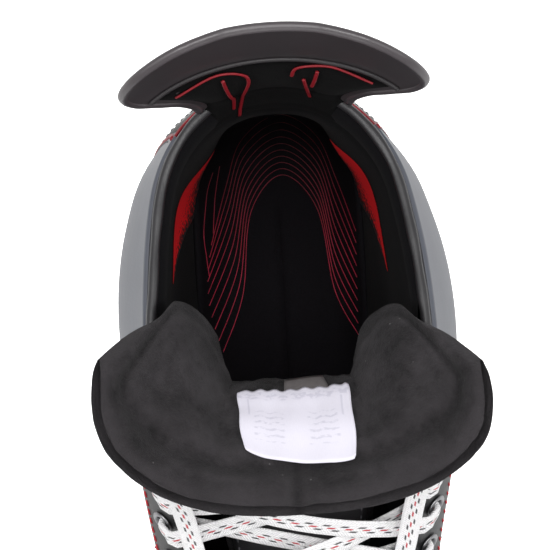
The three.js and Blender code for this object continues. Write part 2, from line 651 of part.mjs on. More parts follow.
// ---- Holder, runner and fasteners ---------------------------------------------------------------
const under = -2 * GAP - OUTSOLE; // top of the holder's flanges, below the sole line
const plateZ = (x) => soleZ(x) + under - PLATE;
const RIVETS = [[84, 31], [84, -30], [130, 26], [130, -13], [-74, 22], [-74, -22], [-118, 18], [-118, -18]];
const BOLTS = [[112, 24], [-114, 24]];
function tower(x, levels) {
  const rings = levels.map(({ z, shift, length, width }) =>
    Array.from({ length: 20 }, (_, i) => {
      const a = (2 * Math.PI * i) / 20;
      const squarish = (v) => Math.sign(v) * Math.abs(v) ** 0.7;
      return new THREE.Vector3(x + shift + length * squarish(Math.cos(a)), width * squarish(Math.sin(a)), z);
    }),
  );
  return ringSolid(rings);
}
function holder() {
  const flange = form(6);
  let made = flange.intersect(soleBand(under - PLATE, under, 30, 190));
  made = made.add(flange.intersect(soleBand(under - PLATE, under, -170, -46)));
  const rail = [
    [-139, 19], [-128, 17.5], [0, 16], [128, 17.5], [147, 20], [149, 27], [140, 35], [112, RAIL_TOP],
    [40, RAIL_TOP - 2], [0, RAIL_TOP - 4], [-50, RAIL_TOP - 2], [-112, RAIL_TOP], [-134, 34], [-141, 27],
  ];
  made = made.add(sideProfile(rail, -5.5, 5.5));
  const top = (x) => plateZ(x) + PLATE / 2;
  made = made.add(
    tower(TOWERS.front, [
      { z: RAIL_TOP - 8, shift: 6, length: 34, width: 5.2 },
      { z: RAIL_TOP + 3, shift: 4, length: 28, width: 8 },
      { z: RAIL_TOP + 11, shift: 2, length: 31, width: 14 },
      { z: top(86), shift: 0, length: 40, width: 24 },
    ]),
  );
  made = made.add(
    tower(TOWERS.rear, [
      { z: RAIL_TOP - 8, shift: -6, length: 30, width: 5.2 },
      { z: RAIL_TOP + 6, shift: -5, length: 23, width: 8 },
      { z: RAIL_TOP + 18, shift: -4, length: 24, width: 12 },
      { z: top(-90), shift: -3, length: 32, width: 16 },
    ]),
  );
  made = made.subtract(block(-200, 200, -STEEL / 2 - GAP, STEEL / 2 + GAP, 0, SLOT_TOP + GAP));
  for (const [x, y] of RIVETS) made = made.subtract(upright(x, y, 2.3, 40, 90));
  for (const [x, z] of BOLTS) made = made.subtract(across(x, z, 2.5, -20, 20));
  return made;
}
function across(x, z, r, y0, y1, segments = 12) {
  const g = new THREE.CylinderGeometry(r, r, y1 - y0, segments);
  g.translate(x, (y0 + y1) / 2, z);
  return solid(g);
}
function runner() {
  const outline = [
    [-142, 22], [-143, 14], [-139, 7], [-126, 2.4], [-100, 0.8], [-60, 0], [60, 0], [100, 0.9], [128, 3],
    [142, 7.5], [150, 15], [152, 24], [148, SLOT_TOP - 0.5], [130, SLOT_TOP], [-130, SLOT_TOP], [-138, 27],
  ];
  let made = sideProfile(outline, -STEEL / 2, STEEL / 2);
  for (const [x, z] of BOLTS) made = made.subtract(across(x, z, 2.5, -20, 20));
  return made;
}
function bolt(x, z) {
  return across(x, z, 2.2, -6, 8.4).add(across(x, z, 4, -7.6, -5.8));
}
function nut(x, z) {
  return across(x, z, 4, 5.8, 8.4, 6).subtract(across(x, z, 2.35, 0, 20));
}
function rivet(x, y) {
  const foot = plateZ(x) - GAP / 2;
  const head = soleZ(x) + GAP + BOARD - 1.1;
  return upright(x, y, 2, foot - 1, head + 0.5).add(upright(x, y, 3.8, foot - 1.8, foot, 14)).add(
    upright(x, y, 3.8, head, head + 0.9, 14),
  );
}
function riveted(made, x0, countersunk) {
  let out = made;
  for (const [x, y] of RIVETS) {
    out = out.subtract(upright(x, y, 2.3, 30, 100));
    if (countersunk) out = out.subtract(upright(x, y, 4.2, soleZ(x) + GAP + BOARD - 1.4, 120, 14));
  }
  return out;
}

// ---- Materials and assembly ---------------------------------------------------------------------
const look = (color, roughness, metalness = 0) =>
  new THREE.MeshStandardMaterial({ color, roughness, metalness });
const MATERIALS = {
  shell: look(0x1b1a1d, 0.5),
  cap: look(0x161618, 0.35),
  lining: look(0x121113, 0.9),
  foam: look(0x2a2a2c, 0.95),
  board: look(0x6b5a48, 0.8),
  footbed: look(0x17151a, 0.85),
  plastic: look(0x26262a, 0.4),
  guard: look(0x3c373a, 0.4),
  facing: look(0x151416, 0.6),
  felt: look(0x322f32, 0.95),
  label: look(0xe1dceb, 0.6),
  lace: look(0xe8e6e4, 0.85),
  aglet: look(0xdfe3e6, 0.25),
  holder: look(0xe9e9e7, 0.35),
  steel: look(0xc6c8ca, 0.25, 1),
  eyelet: look(0x77777a, 0.35, 1),
};
const skate = new THREE.Group();
skate.name = "hockey_skate";
function place(name, made, material) {
  const geometry = made.isBufferGeometry ? made : geometryFrom(made);
  const mesh = new THREE.Mesh(geometry, MATERIALS[material]);
  mesh.name = name;
  skate.add(mesh);
}

for (const [name, side] of Object.entries(SIDES)) {
  place(`quarter_${name}`, quarter(side), "shell");
  place(`ankle_pad_${name}`, anklePad(side), "foam");
  place(`liner_${name}`, liner(side), "lining");
  place(`facing_${name}`, facing(side), "facing");
  for (let i = 0; i < EYELETS; i++) place(`eyelet_${name}_${i + 1}`, eyelet(eyeletPlace(i, side)), "eyelet");
  place(`lace_strand_${name}`, laceStrand(side), "lace");
  const free = freeLace(name);
  place(`lace_end_${name}`, free.made, "lace");
  place(`aglet_${name}`, aglet(free.curve), "aglet");
}
place("lace_knot", knot(), "lace");
place("toe_cap", toeCap(), "cap");
place("outsole", riveted(outsole()), "plastic");
place("insole_board", riveted(insoleBoard(), 0, true), "board");
place("footbed", footbed(), "footbed");
place("heel_counter", heelCounter(), "plastic");
place("tongue_lower", tonguePart(false), "felt");
place("tongue_top", tonguePart(true), "felt");
place("tongue_label", tongueLabel(), "label");
place("tongue_tab", tongueTab(), "plastic");
place("guard_shell", sheetSolid(guardPoint, 12, 10, 0, GUARD_SHELL), "guard");
place("guard_pad", guardPad(), "lining");
place("blade_holder", holder(), "holder");
place("runner", runner(), "steel");
BOLTS.forEach(([x, z], i) => {
  place(`runner_bolt_${i + 1}`, bolt(x, z), "steel");
  place(`runner_nut_${i + 1}`, nut(x, z), "steel");
});
RIVETS.forEach(([x, y], i) => place(`rivet_${i + 1}`, rivet(x, y), "eyelet"));

function guardPad() {
  const at = (u, v, depth) => guardPoint(0.04 + 0.92 * u, 0.02 + 0.93 * v, depth);
  return sheetSolid(at, 12, 9, GUARD_SHELL + 4 * GAP, GUARD_SHELL + 4 * GAP + GUARD_PAD);
}

export default skate;
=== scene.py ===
"""Looks of a right-foot ice hockey skate, seen from above into the boot.

+X is to the toe, +Y to the inner side, +Z up. Sizes are millimetres until an object is made, then metres.
"Side-view places" are (x, z) pairs. Most shapes are grids of points laid on the boot's own surface.
"""
import math

import bpy
import numpy as np
from mathutils import Matrix, Vector


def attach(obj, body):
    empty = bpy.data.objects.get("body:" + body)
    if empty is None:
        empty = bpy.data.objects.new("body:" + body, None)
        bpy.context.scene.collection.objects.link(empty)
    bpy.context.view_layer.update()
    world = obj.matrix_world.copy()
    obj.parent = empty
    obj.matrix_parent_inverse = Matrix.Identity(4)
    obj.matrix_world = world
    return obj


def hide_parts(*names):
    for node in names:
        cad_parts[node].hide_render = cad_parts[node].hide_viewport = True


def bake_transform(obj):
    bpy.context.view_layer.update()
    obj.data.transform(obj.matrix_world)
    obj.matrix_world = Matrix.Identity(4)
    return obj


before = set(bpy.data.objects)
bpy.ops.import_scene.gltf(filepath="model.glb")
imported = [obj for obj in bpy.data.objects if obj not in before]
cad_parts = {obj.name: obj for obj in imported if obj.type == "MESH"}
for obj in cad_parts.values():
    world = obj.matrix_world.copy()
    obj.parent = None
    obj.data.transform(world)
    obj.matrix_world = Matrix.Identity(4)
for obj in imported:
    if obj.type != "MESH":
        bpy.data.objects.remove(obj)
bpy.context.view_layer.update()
MM = 0.001
SIDES = {"medial": 1, "lateral": -1}
EYELETS = 9
RNG = np.random.default_rng(7)


# ---- Camera, floor and light --------------------------------------------------------------------
LENS_MM = 133.79
CAMERA_PLACE = (-67, -3, 885)
CAMERA_YAW = math.radians(3.4)
LIGHT_AIM = (-0.04, 0, 0.15)
# Name, place in metres, disc size and watts of each light.
LIGHTS = [
    ("overhead", (-0.20, 0.02, 1.5), 0.8, 8.5),
    ("inner_left", (-0.08, -0.70, 1.25), 0.4, 4.5),
    ("inner_right", (-0.08, 0.70, 1.25), 0.4, 4.5),
    ("key_from_heel", (-0.9, -0.3, 1.2), 0.8, 1.8),
    ("fill_left", (0.1, -1.2, 0.9), 0.8, 2.6),
    ("fill_right", (0.0, 1.2, 0.8), 0.8, 3.2),
    ("front", (1.0, 0.1, 1.1), 0.9, 4.0),
]


def make_camera():
    """A long lens straight above the boot's opening, with the heel at the top of the picture."""
    data = bpy.data.cameras.new("view_camera")
    data.sensor_width = 36
    data.lens = LENS_MM
    data.clip_start = 0.01
    camera = bpy.data.objects.new("view_camera", data)
    bpy.context.collection.objects.link(camera)
    right = Vector((math.sin(CAMERA_YAW), math.cos(CAMERA_YAW), 0))
    up = Vector((-math.cos(CAMERA_YAW), math.sin(CAMERA_YAW), 0))
    turn = Matrix((right, up, right.cross(up))).transposed().to_4x4()
    camera.matrix_world = Matrix.Translation(Vector(CAMERA_PLACE) * MM) @ turn
    bpy.context.scene.camera = camera


def area_light(name, place, size, power):
    data = bpy.data.lights.new(name, "AREA")
    data.shape = "DISK"
    data.size = size
    data.energy = power
    light = bpy.data.objects.new(name, data)
    bpy.context.collection.objects.link(light)
    light.location = place
    light.rotation_euler = (Vector(LIGHT_AIM) - Vector(place)).to_track_quat("-Z", "Y").to_euler()


def make_stage():
    """A white floor that glows a little where the camera sees it, a pale world and the lights."""
    bpy.ops.mesh.primitive_plane_add(size=6, location=(0, 0, 0))
    floor = bpy.context.object
    floor.name = "floor"
    paper = Shader("floor_white", (0.92, 0.92, 0.92), 0.9)
    seen = paper.node("ShaderNodeLightPath").outputs["Is Camera Ray"]
    paper.set("Emission Color", (1, 1, 1, 1))
    paper.set("Emission Strength", paper.times(seen, 0.9))
    floor.data.materials.append(paper.material)
    world = bpy.data.worlds.new("studio")
    world.use_nodes = True
    world.node_tree.nodes["Background"].inputs["Color"].default_value = (1, 1, 1, 1)
    world.node_tree.nodes["Background"].inputs["Strength"].default_value = 0.34
    bpy.context.scene.world = world
    bpy.context.scene.view_settings.view_transform = "Standard"
    for light in LIGHTS:
        area_light(*light)


# ---- Materials ----------------------------------------------------------------------------------
class Shader:
    """A node tree built by short calls: each returns an output socket."""

    def __init__(self, name, colour, roughness, metallic=0.0):
        self.material = bpy.data.materials.new(name)
        self.material.use_nodes = True
        self.tree = self.material.node_tree
        self.principled = self.tree.nodes["Principled BSDF"]
        self.set("Base Color", (*colour, 1))
        self.set("Roughness", roughness)
        self.set("Metallic", metallic)
        self.colour = colour
        self.height = None

    def set(self, socket, value):
        target = self.principled.inputs[socket]
        if isinstance(value, bpy.types.NodeSocket):
            self.tree.links.new(value, target)
        else:
            target.default_value = value

    def node(self, kind, inputs=None, **settings):
        made = self.tree.nodes.new(kind)
        for key, value in settings.items():
            setattr(made, key, value)
        for key, value in (inputs or {}).items():
            if isinstance(value, bpy.types.NodeSocket):
                self.tree.links.new(value, made.inputs[key])
            else:
                made.inputs[key].default_value = value
        return made

    def place(self, kind="Object"):
        return self.node("ShaderNodeTexCoord").outputs[kind]

    def scaled(self, x, y, z):
        return self.node("ShaderNodeMapping", {"Vector": self.place(), "Scale": (x, y, z)}).outputs["Vector"]

    def noise(self, per_mm, detail=3.0, vector=None, rough=0.55):
        inputs = {"Vector": vector or self.place(), "Scale": per_mm / MM}
        inputs.update({"Detail": detail, "Roughness": rough})
        return self.node("ShaderNodeTexNoise", inputs).outputs["Fac"]

    def cells(self, per_mm, feature="F1"):
        inputs = {"Vector": self.place(), "Scale": per_mm / MM}
        return self.node("ShaderNodeTexVoronoi", inputs, feature=feature).outputs["Distance"]

    def math(self, operation, a, b=0.0):
        return self.node("ShaderNodeMath", {0: a, 1: b}, operation=operation).outputs[0]

    def plus(self, a, b):
        return self.math("ADD", a, b)

    def minus(self, a, b):
        return self.math("SUBTRACT", a, b)

    def times(self, a, b):
        return self.math("MULTIPLY", a, b)

    def waves(self, value, per_unit):
        return self.math("SINE", self.times(value, per_unit))

    def band(self, value, low, high, soft=0.02):
        """1 where value lies between low and high, with soft edges."""
        rise = self.ramp(value, low - soft, low + soft)
        fall = self.ramp(value, high - soft, high + soft)
        return self.minus(rise, fall)

    def ramp(self, value, low, high):
        """0 at low, 1 at high, straight between them and held outside."""
        made = self.node("ShaderNodeMapRange", {"Value": value, "From Min": low, "From Max": high})
        return made.outputs["Result"]

    def mix(self, factor, a, b):
        """Colour a where factor is 0 and b where it is 1."""
        made = self.node("ShaderNodeMix", data_type="RGBA")
        for socket, value in ((made.inputs[0], factor), (made.inputs[6], a), (made.inputs[7], b)):
            if isinstance(value, bpy.types.NodeSocket):
                self.tree.links.new(value, socket)
            elif socket is made.inputs[0]:
                socket.default_value = value
            else:
                socket.default_value = (*value, 1)
        return made.outputs[2]

    def uv(self):
        made = self.node("ShaderNodeSeparateXYZ", {"Vector": self.place("UV")})
        return made.outputs["X"], made.outputs["Y"]

    def shade(self, strength):
        return tuple(min(1, c * strength) for c in self.colour)

    def vary(self, factor, amount):
        """Lets the base colour run darker and lighter by amount."""
        return self.mix(factor, self.shade(1 - amount), self.shade(1 + amount))

    def bump(self, height, strength, distance):
        inputs = {"Height": height, "Strength": strength, "Distance": distance * MM}
        if self.height:
            inputs["Normal"] = self.height
        self.height = self.node("ShaderNodeBump", inputs).outputs["Normal"]
        self.set("Normal", self.height)


def moulded(name, colour, roughness, coat=0.0, grain=0.25):
    """Moulded plastic: a fine even grain, slight drift in tone, and a clear coat on the glossy ones."""
    s = Shader(name, colour, roughness)
    s.set("Base Color", s.vary(s.noise(0.05), 0.18))
    s.set("Roughness", s.ramp(s.noise(0.3), -0.6, 1.6) if roughness > 0.5 else roughness)
    s.bump(s.noise(3.0, 2), grain, 0.12)
    s.set("Coat Weight", coat)
    return s.material


def leather(name, colour, roughness, grain=0.4):
    """Synthetic boot leather: fine pebble grain, slight tone drift and rubbed sheen."""
    s = Shader(name, colour, roughness)
    s.set("Base Color", s.vary(s.noise(0.06), 0.16))
    s.bump(s.cells(1.3, "SMOOTH_F1"), grain, 0.18)
    s.bump(s.noise(0.35, 4), 0.25, 0.35)
    s.set("Coat Weight", 0.12)
    s.set("Coat Roughness", 0.35)
    return s.material


def woven_panel(name, colour, roughness):
    """Satin composite skin with a faint diagonal weave."""
    s = Shader(name, colour, roughness)
    u, v = s.uv()
    twill = s.waves(s.plus(u, v), 2600.0)
    s.set("Base Color", s.vary(s.noise(0.035), 0.12))
    s.bump(twill, 0.12, 0.08)
    s.bump(s.noise(0.15, 3), 0.2, 0.4)
    s.set("Specular IOR Level", 0.35)
    return s.material


def felt(name, colour):
    """Thick pressed felt: matted fibres, a soft sheen and pale lint, with painted highlights on the rim
    seam's ridge and along the rim, and painted shade in the rim seam's fold and the middle seam.
    """
    s = Shader(name, colour, 0.95)
    fibre = s.noise(0.9, 7, rough=0.8)
    matted = s.noise(0.28, 5, rough=0.75)
    clouds = s.ramp(s.noise(0.07, 3), 0.3, 0.7)
    lint = s.ramp(s.cells(0.16), 0.06, 0.02)
    mottle = s.times(s.plus(s.plus(fibre, matted), clouds), 0.36)
    tone = s.vary(s.ramp(mottle, 0.28, 0.72), 0.75)
    rim, across = s.uv()
    rim = s.plus(rim, s.times(s.minus(matted, 0.5), 0.05))
    # painted highlight on the raised ridge of the rim seam
    ridge = s.times(s.band(rim, 0.235, 0.285, 0.03), 0.45)
    # painted shade in the fold of the rim seam
    fold = s.times(s.band(rim, 0.155, 0.205, 0.03), 0.55)
    # painted shade in the groove of the middle seam, near the rim
    middle = s.times(s.band(across, 0.492, 0.508, 0.006), s.ramp(rim, 0.62, 0.5))
    # painted light along the rim, whose face turns away from the lamps
    edge = s.times(s.band(rim, -0.2, 0.06, 0.03), 0.6)
    # the painted highlights and painted light: the felt's colour made 2.1 times lighter
    tone = s.mix(s.math("MAXIMUM", ridge, edge), tone, s.shade(2.1))
    # the painted shade: the felt's colour made darker
    tone = s.mix(s.math("MAXIMUM", fold, s.times(middle, 0.6)), tone, s.shade(0.35))
    s.set("Base Color", s.mix(s.times(lint, 0.45), tone, (0.30, 0.29, 0.29)))
    s.bump(matted, 0.7, 2.2)
    s.bump(fibre, 1.0, 1.0)
    s.set("Specular IOR Level", 0.1)
    s.set("Sheen Weight", 0.08)
    s.set("Sheen Roughness", 0.45)
    return s.material


def knit(name, colour, sheen=0.04):
    """Brushed microfibre lining with a tiny regular knit."""
    s = Shader(name, colour, 0.9)
    s.set("Base Color", s.vary(s.noise(1.4, 4), 0.4))
    s.bump(s.cells(1.9), 0.4, 0.2)
    s.bump(s.noise(0.25, 3), 0.2, 0.5)
    s.set("Specular IOR Level", 0.08)
    s.set("Sheen Weight", sheen)
    s.set("Sheen Roughness", 0.5)
    return s.material


def printed(name, colour, roughness=0.6):
    """Ink, thread or thin rubbery piping: one colour with slight drift and a fine roughness."""
    s = Shader(name, colour, roughness)
    s.set("Base Color", s.vary(s.noise(0.8, 3), 0.25))
    s.bump(s.noise(2.0, 2), 0.3, 0.1)
    return s.material


def lace_weave(name):
    """Flat white lace: chevron ribs across, and slanted black and red dashes along its middle."""
    s = Shader(name, (0.90, 0.89, 0.90), 0.85)
    u, v = s.uv()
    off = s.math("ABSOLUTE", s.minus(v, 0.5))
    rib = s.waves(s.plus(u, s.times(off, 0.006)), 2 * math.pi / 0.0011)
    along = s.waves(v, 2 * math.pi * 7)
    white = s.vary(s.plus(s.times(rib, 0.3), s.noise(0.9, 3)), 0.10)

    def dashes(row, shift):
        slant = s.plus(s.math("DIVIDE", u, 0.0062), s.plus(s.times(v, 1.6), shift))
        dash = s.band(s.math("FRACT", slant), 0.1, 0.52, 0.04)
        return s.times(dash, s.band(v, row - 0.045, row + 0.045, 0.02))

    colour = s.mix(dashes(0.5, 0.0), white, (0.55, 0.02, 0.03))
    for row in (0.36, 0.64):
        colour = s.mix(dashes(row, 0.5), colour, (0.02, 0.02, 0.022))
    s.set("Base Color", colour)
    s.bump(rib, 0.6, 0.22)
    s.bump(along, 0.35, 0.12)
    s.set("Sheen Weight", 0.2)
    return s.material


def brushed(name, colour, roughness, grain=(0.03, 1, 1)):
    """Bare metal with fine lines along the axis that grain stretches."""
    s = Shader(name, colour, roughness, 1.0)
    lines = s.noise(1.2, 4, vector=s.scaled(*grain))
    s.set("Base Color", s.vary(lines, 0.12))
    s.set("Roughness", s.plus(s.times(lines, 0.25), roughness - 0.1))
    s.bump(lines, 0.15, 0.05)
    return s.material


def fading_red(name):
    """Red ankle flash on the lining: solid along its outer edge, breaking into dots towards the other."""
    s = Shader(name, (0.45, 0.004, 0.008), 0.75)
    v = s.uv()[1]
    dots = s.cells(0.75)
    reach = s.minus(s.times(v, 1.25), 0.12)
    ink = s.ramp(s.minus(dots, s.minus(1.0, reach)), -0.32, -0.08)
    s.set("Base Color", s.mix(ink, (0.010, 0.009, 0.010), (0.95, 0.005, 0.012)))
    s.bump(s.noise(1.5, 3), 0.25, 0.2)
    return s.material


def satin_label(name):
    """White lilac satin with a fine weave and faint grey rules, which stand for care instructions."""
    s = Shader(name, (0.66, 0.64, 0.72), 0.6)
    u, v = s.uv()
    weave = s.noise(1.2, 2, vector=s.scaled(1, 3, 1))
    ink = s.noise(0.9, 2, vector=s.scaled(1, 0.6, 1))
    off = s.math("ABSOLUTE", s.minus(u, 0.5))
    rows = s.band(s.math("FRACT", s.times(v, 13.0)), 0.25, 0.62, 0.06)
    block = s.times(s.band(off, 0.10, 0.36, 0.01), s.band(v, 0.42, 0.80, 0.01))
    marks = s.times(s.times(rows, block), s.ramp(ink, 0.42, 0.60))
    heading = s.times(s.band(v, 0.09, 0.19, 0.02), s.ramp(ink, 0.44, 0.56))
    frame_lines = s.times(s.band(off, 0.40, 0.415, 0.006), s.band(v, 0.2, 0.5, 0.01))
    dark = s.math("MAXIMUM", s.times(marks, 0.5), s.times(heading, 0.45))
    dark = s.math("MAXIMUM", dark, s.times(frame_lines, 0.5))
    s.set("Base Color", s.mix(dark, s.vary(weave, 0.05), (0.42, 0.41, 0.50)))
    s.bump(weave, 0.3, 0.1)
    return s.material


def contour_print(name):
    """Thin raised pinkish red print, with painted shade that dulls it to dark red towards the heel."""
    s = Shader(name, (0.4, 0.02, 0.05), 0.6)
    x = s.node("ShaderNodeSeparateXYZ", {"Vector": s.place()}).outputs["X"]
    # painted shade: the print turns dull dark red towards the heel and stays bright pinkish red under the
    # arch
    s.set("Base Color", s.mix(s.ramp(x, -0.122, -0.070), (0.085, 0.008, 0.012), (0.75, 0.035, 0.095)))
    s.bump(s.noise(2.0, 2), 0.3, 0.1)
    return s.material


LOOKS = {
    "shell": leather("boot_leather", (0.016, 0.015, 0.017), 0.42),
    "ankle": woven_panel("ankle_satin", (0.092, 0.098, 0.118), 0.38),
    "counter": moulded("counter_plastic", (0.014, 0.014, 0.016), 0.3, coat=0.3),
    "cap": moulded("toe_cap_plastic", (0.012, 0.012, 0.013), 0.22, coat=0.5, grain=0.08),
    "sole": moulded("outsole_composite", (0.018, 0.018, 0.02), 0.38, coat=0.2),
    "binding": leather("collar_binding", (0.020, 0.019, 0.021), 0.42, 0.3),
    "facing": leather("eyelet_strip", (0.012, 0.012, 0.013), 0.5, 0.3),
    "lining": knit("lining_microfibre", (0.0045, 0.0042, 0.005), 0.02),
    "footbed": knit("footbed_knit", (0.010, 0.009, 0.011), 0.0),
    "foam": knit("ankle_foam", (0.05, 0.05, 0.055)),
    "board": leather("insole_fibre", (0.20, 0.14, 0.09), 0.8),
    "felt": felt("tongue_felt", (0.024, 0.0215, 0.0235)),
    "tongue_skin": leather("tongue_outer_skin", (0.014, 0.013, 0.015), 0.55),
    "guard": moulded("guard_plastic", (0.040, 0.034, 0.037), 0.45, coat=0.12, grain=0.2),
    # painted highlight: the guard's rim is a lighter copy of the guard plastic
    "guard_rim": moulded("guard_rim_plastic", (0.056, 0.048, 0.052), 0.42, coat=0.2, grain=0.2),
    # painted shade: the guard's folds are a darker copy of the guard plastic
    "guard_fold": moulded("guard_fold_plastic", (0.028, 0.025, 0.027), 0.6, grain=0.3),
    "guard_lining": knit("guard_lining", (0.0022, 0.002, 0.0022), 0.01),
    "red_piping": printed("red_piping", (0.24, 0.005, 0.012), 0.5),
    "red_thread": printed("red_thread", (0.50, 0.02, 0.03)),
    "grey_thread": printed("grey_thread", (0.10, 0.10, 0.11)),
    "black_thread": printed("black_thread", (0.03, 0.03, 0.032)),
    "flash": fading_red("ankle_flash"),
    "contour": contour_print("contour_print"),
    "label": satin_label("label_satin"),
    "tab": printed("grey_tab", (0.12, 0.11, 0.11), 0.5),
    "lace": lace_weave("lace_weave"),
    "aglet": moulded("aglet_plastic", (0.75, 0.77, 0.80), 0.15, coat=0.6, grain=0.02),
    "holder": moulded("holder_nylon", (0.80, 0.80, 0.79), 0.3, coat=0.25, grain=0.1),
    "steel": brushed("runner_steel", (0.62, 0.63, 0.65), 0.24),
    "eyelet": brushed("eyelet_nickel", (0.30, 0.30, 0.31), 0.3, (1, 1, 0.03)),
}


# ---- Small mathematics --------------------------------------------------------------------------
def hermite(knots, rows, x):
    """Smooth curve through rows of values (one row per knot), flat outside the knots."""
    knots = np.asarray(knots, float)
    x = np.clip(np.asarray(x, float), knots[0], knots[-1])
    rows = [np.broadcast_to(np.asarray(r, float), x.shape) for r in rows]
    last = len(knots) - 1
    slopes = []
    for i in range(last + 1):
        a, b = max(0, i - 1), min(last, i + 1)
        slopes.append((rows[b] - rows[a]) / (knots[b] - knots[a]))
    out = rows[0].copy()
    for i in range(last):
        h = knots[i + 1] - knots[i]
        t = np.clip((x - knots[i]) / h, 0, 1)
        piece = (
            rows[i] * (2 * t**3 - 3 * t**2 + 1)
            + rows[i + 1] * (3 * t**2 - 2 * t**3)
            + slopes[i] * h * (t**3 - 2 * t**2 + t)
            + slopes[i + 1] * h * (t**3 - t**2)
        )
        out = np.where(x >= knots[i], piece, out)
    return out


def through(knots, values):
    return lambda x: hermite(knots, values, x)


def arrays(*values):
    """The values as arrays of numbers of one common shape."""
    return np.broadcast_arrays(*(np.asarray(v, float) for v in values))


def smooth(t):
    """Eases from 0 to 1 as t does."""
    c = np.clip(t, 0, 1)
    return c * c * (3 - 2 * c)


def rounded(q, n):
    """Rises from 0 at q = 0 to 1 at q = 1 along a superellipse."""
    c = 1 - np.clip(q, 0, 1)
    return (1 - c**n) ** (1 / n)


def spline(points, t):
    """Catmull-Rom curve through the points, t from 0 to 1 (any array)."""
    points = np.asarray(points, float)
    n = len(points)
    t = np.atleast_1d(np.asarray(t, float))
    p = np.clip(t, 0, 1) * (n - 1)
    i = np.minimum(np.floor(p).astype(int), n - 2)
    w = (p - i)[:, None]
    p0, p1 = points[np.maximum(i - 1, 0)], points[i]
    p2, p3 = points[np.minimum(i + 1, n - 1)], points[np.minimum(i + 2, n - 1)]
    v0, v1 = (p2 - p0) / 2, (p3 - p1) / 2
    return (2 * p1 - 2 * p2 + v0 + v1) * w**3 + (-3 * p1 + 3 * p2 - 2 * v0 - v1) * w**2 + v0 * w + p1


def unit(v):
    v = np.asarray(v, float)
    return v / np.maximum(np.linalg.norm(v, axis=-1, keepdims=True), 1e-9)


def lengths(points):
    """Running length along a polyline."""
    steps = np.linalg.norm(np.diff(points, axis=0), axis=-1)
    return np.concatenate([[0], np.cumsum(steps)])


def evenly(points, count):
    """The same polyline with its points spaced evenly along it."""
    run = lengths(points)
    return along_run(points, run, np.linspace(0, run[-1], count))


def along_run(points, run, at):
    """Places on a polyline at the lengths at, where run is its running length."""
    return np.stack([np.interp(at, run, column) for column in np.asarray(points, float).T], axis=-1)


def spline_even(points, t):
    """Places at fractions t of the curve's length."""
    fine = spline(points, np.linspace(0, 1, 200))
    run = lengths(fine)
    return along_run(fine, run / run[-1], t)


def gap_to(steps, x, z):
    """Distance from side-view places to a polyline."""
    best = np.full(np.shape(x), np.inf)
    for a, b in zip(steps[:-1], steps[1:]):
        d = b - a
        t = np.clip(((x - a[0]) * d[0] + (z - a[1]) * d[1]) / (d @ d), 0, 1)
        best = np.minimum(best, np.hypot(x - a[0] - t * d[0], z - a[1] - t * d[1]))
    return best


# ---- The boot's form, as in the CAD part --------------------------------------------------------
TOE_X, TOE_ROUND, BACK_ROUND, CROWN_ROUND, TOE_SWEEP = 160, 66, 40, 31, 7
SOLE_FRONT, SOLE_HEEL = 66, 76
CROWN = [(160, 80), (156, 104), (138, 122), (112, 131), (86, 138), (58, 158), (34, 182), (13, 207),
         (-4, 232), (-16, 254), (-26, 274), (-36, 292), (-46, 308)]
back_x = through([45, 58, 75, 100, 125, 150, 175, 200, 250],
                 [-112, -125, -134, -138.5, -138, -135, -132, -130.5, -130])
# Half widths of the inner side at each level (rows) and station (columns). The outer side reads the same
# table a little further forward and up.
STATIONS = [-140, -120, -95, -70, -45, -15, 20, 60, 95]
LEVELS = [70, 115, 170, 232]
WIDTHS = [
    [36, 37, 37, 37, 37, 38.5, 43, 50, 52],
    [37, 40, 42, 43.5, 44.5, 45.5, 47, 51, 52],
    [34, 39, 49, 56, 58, 55.5, 52, 50, 49],
    [31, 34, 38, 42.5, 45.5, 46, 46, 42, 41],
]
LATERAL_SHIFT = (6, 8)
CROWN_STEPS = spline(CROWN, np.linspace(0, 1, 73))
FACING = [(90, 133.5), (58, 150), (32, 171), (8, 195), (-10, 217), (-22, 234)]
COLLAR = [(-22, 234), (-40, 230), (-65, 224), (-90, 218), (-112, 214.5), (-131, 213)]
TOE_CAP_LINE = [(98, 62), (98, 78), (97, 100), (94, 120), (91, 134)]


def middle_y(x):
    """The boot's middle line: straight at the heel, swept to the inner side at the toe."""
    return TOE_SWEEP * smooth((x - 40) / 110)


def wall_width(x, z, side):
    if side < 0:
        x, z = x + LATERAL_SHIFT[0], z + LATERAL_SHIFT[1]
    return hermite(LEVELS, [hermite(STATIONS, row, x) for row in WIDTHS], z)


def shell_y(x, z, side, depth=0.0, bulge=0.0):
    """The boot's surface, set in by depth all round and by bulge across."""
    x, z, depth = arrays(x, z, depth)
    half = (
        (wall_width(x, z, side) - depth - bulge)
        * rounded((gap_to(CROWN_STEPS, x, z) - depth) / (CROWN_ROUND - depth), 2)
        * rounded((x - back_x(z) - depth) / (BACK_ROUND - depth), 2.4)
        * rounded((TOE_X - depth - x) / (TOE_ROUND - depth), 2.3)
    )
    return middle_y(x) + side * half


def off_surface(y_at, x, z, lift, e, way):
    """Points (x, y_at(x, z), z) moved by lift along the surface's normal, towards +Y where way is 1."""
    x, z, lift = arrays(x, z, lift)
    dx = (y_at(x + e, z) - y_at(x - e, z)) / (2 * e)
    dz = (y_at(x, z + e) - y_at(x, z - e)) / (2 * e)
    normal = unit(np.stack([-dx, np.ones_like(dx), -dz], axis=-1)) * way
    return np.stack([x, y_at(x, z), z], axis=-1) + normal * lift[..., None]


def shell(x, z, side, depth=0.0, lift=0.0):
    """Points of the boot's surface over side-view places (x, z), set in by depth or lifted off by lift."""
    return off_surface(lambda px, pz: shell_y(px, pz, side, depth), x, z, lift, 0.5, side)


def shell_path(line, side, lift):
    """A side-view line laid on the boot, standing lift off it, and the way out at each of its points."""
    path = shell(line[:, 0], line[:, 1], side, 0, lift)
    return path, shell(line[:, 0], line[:, 1], side, 0, lift + 1) - path


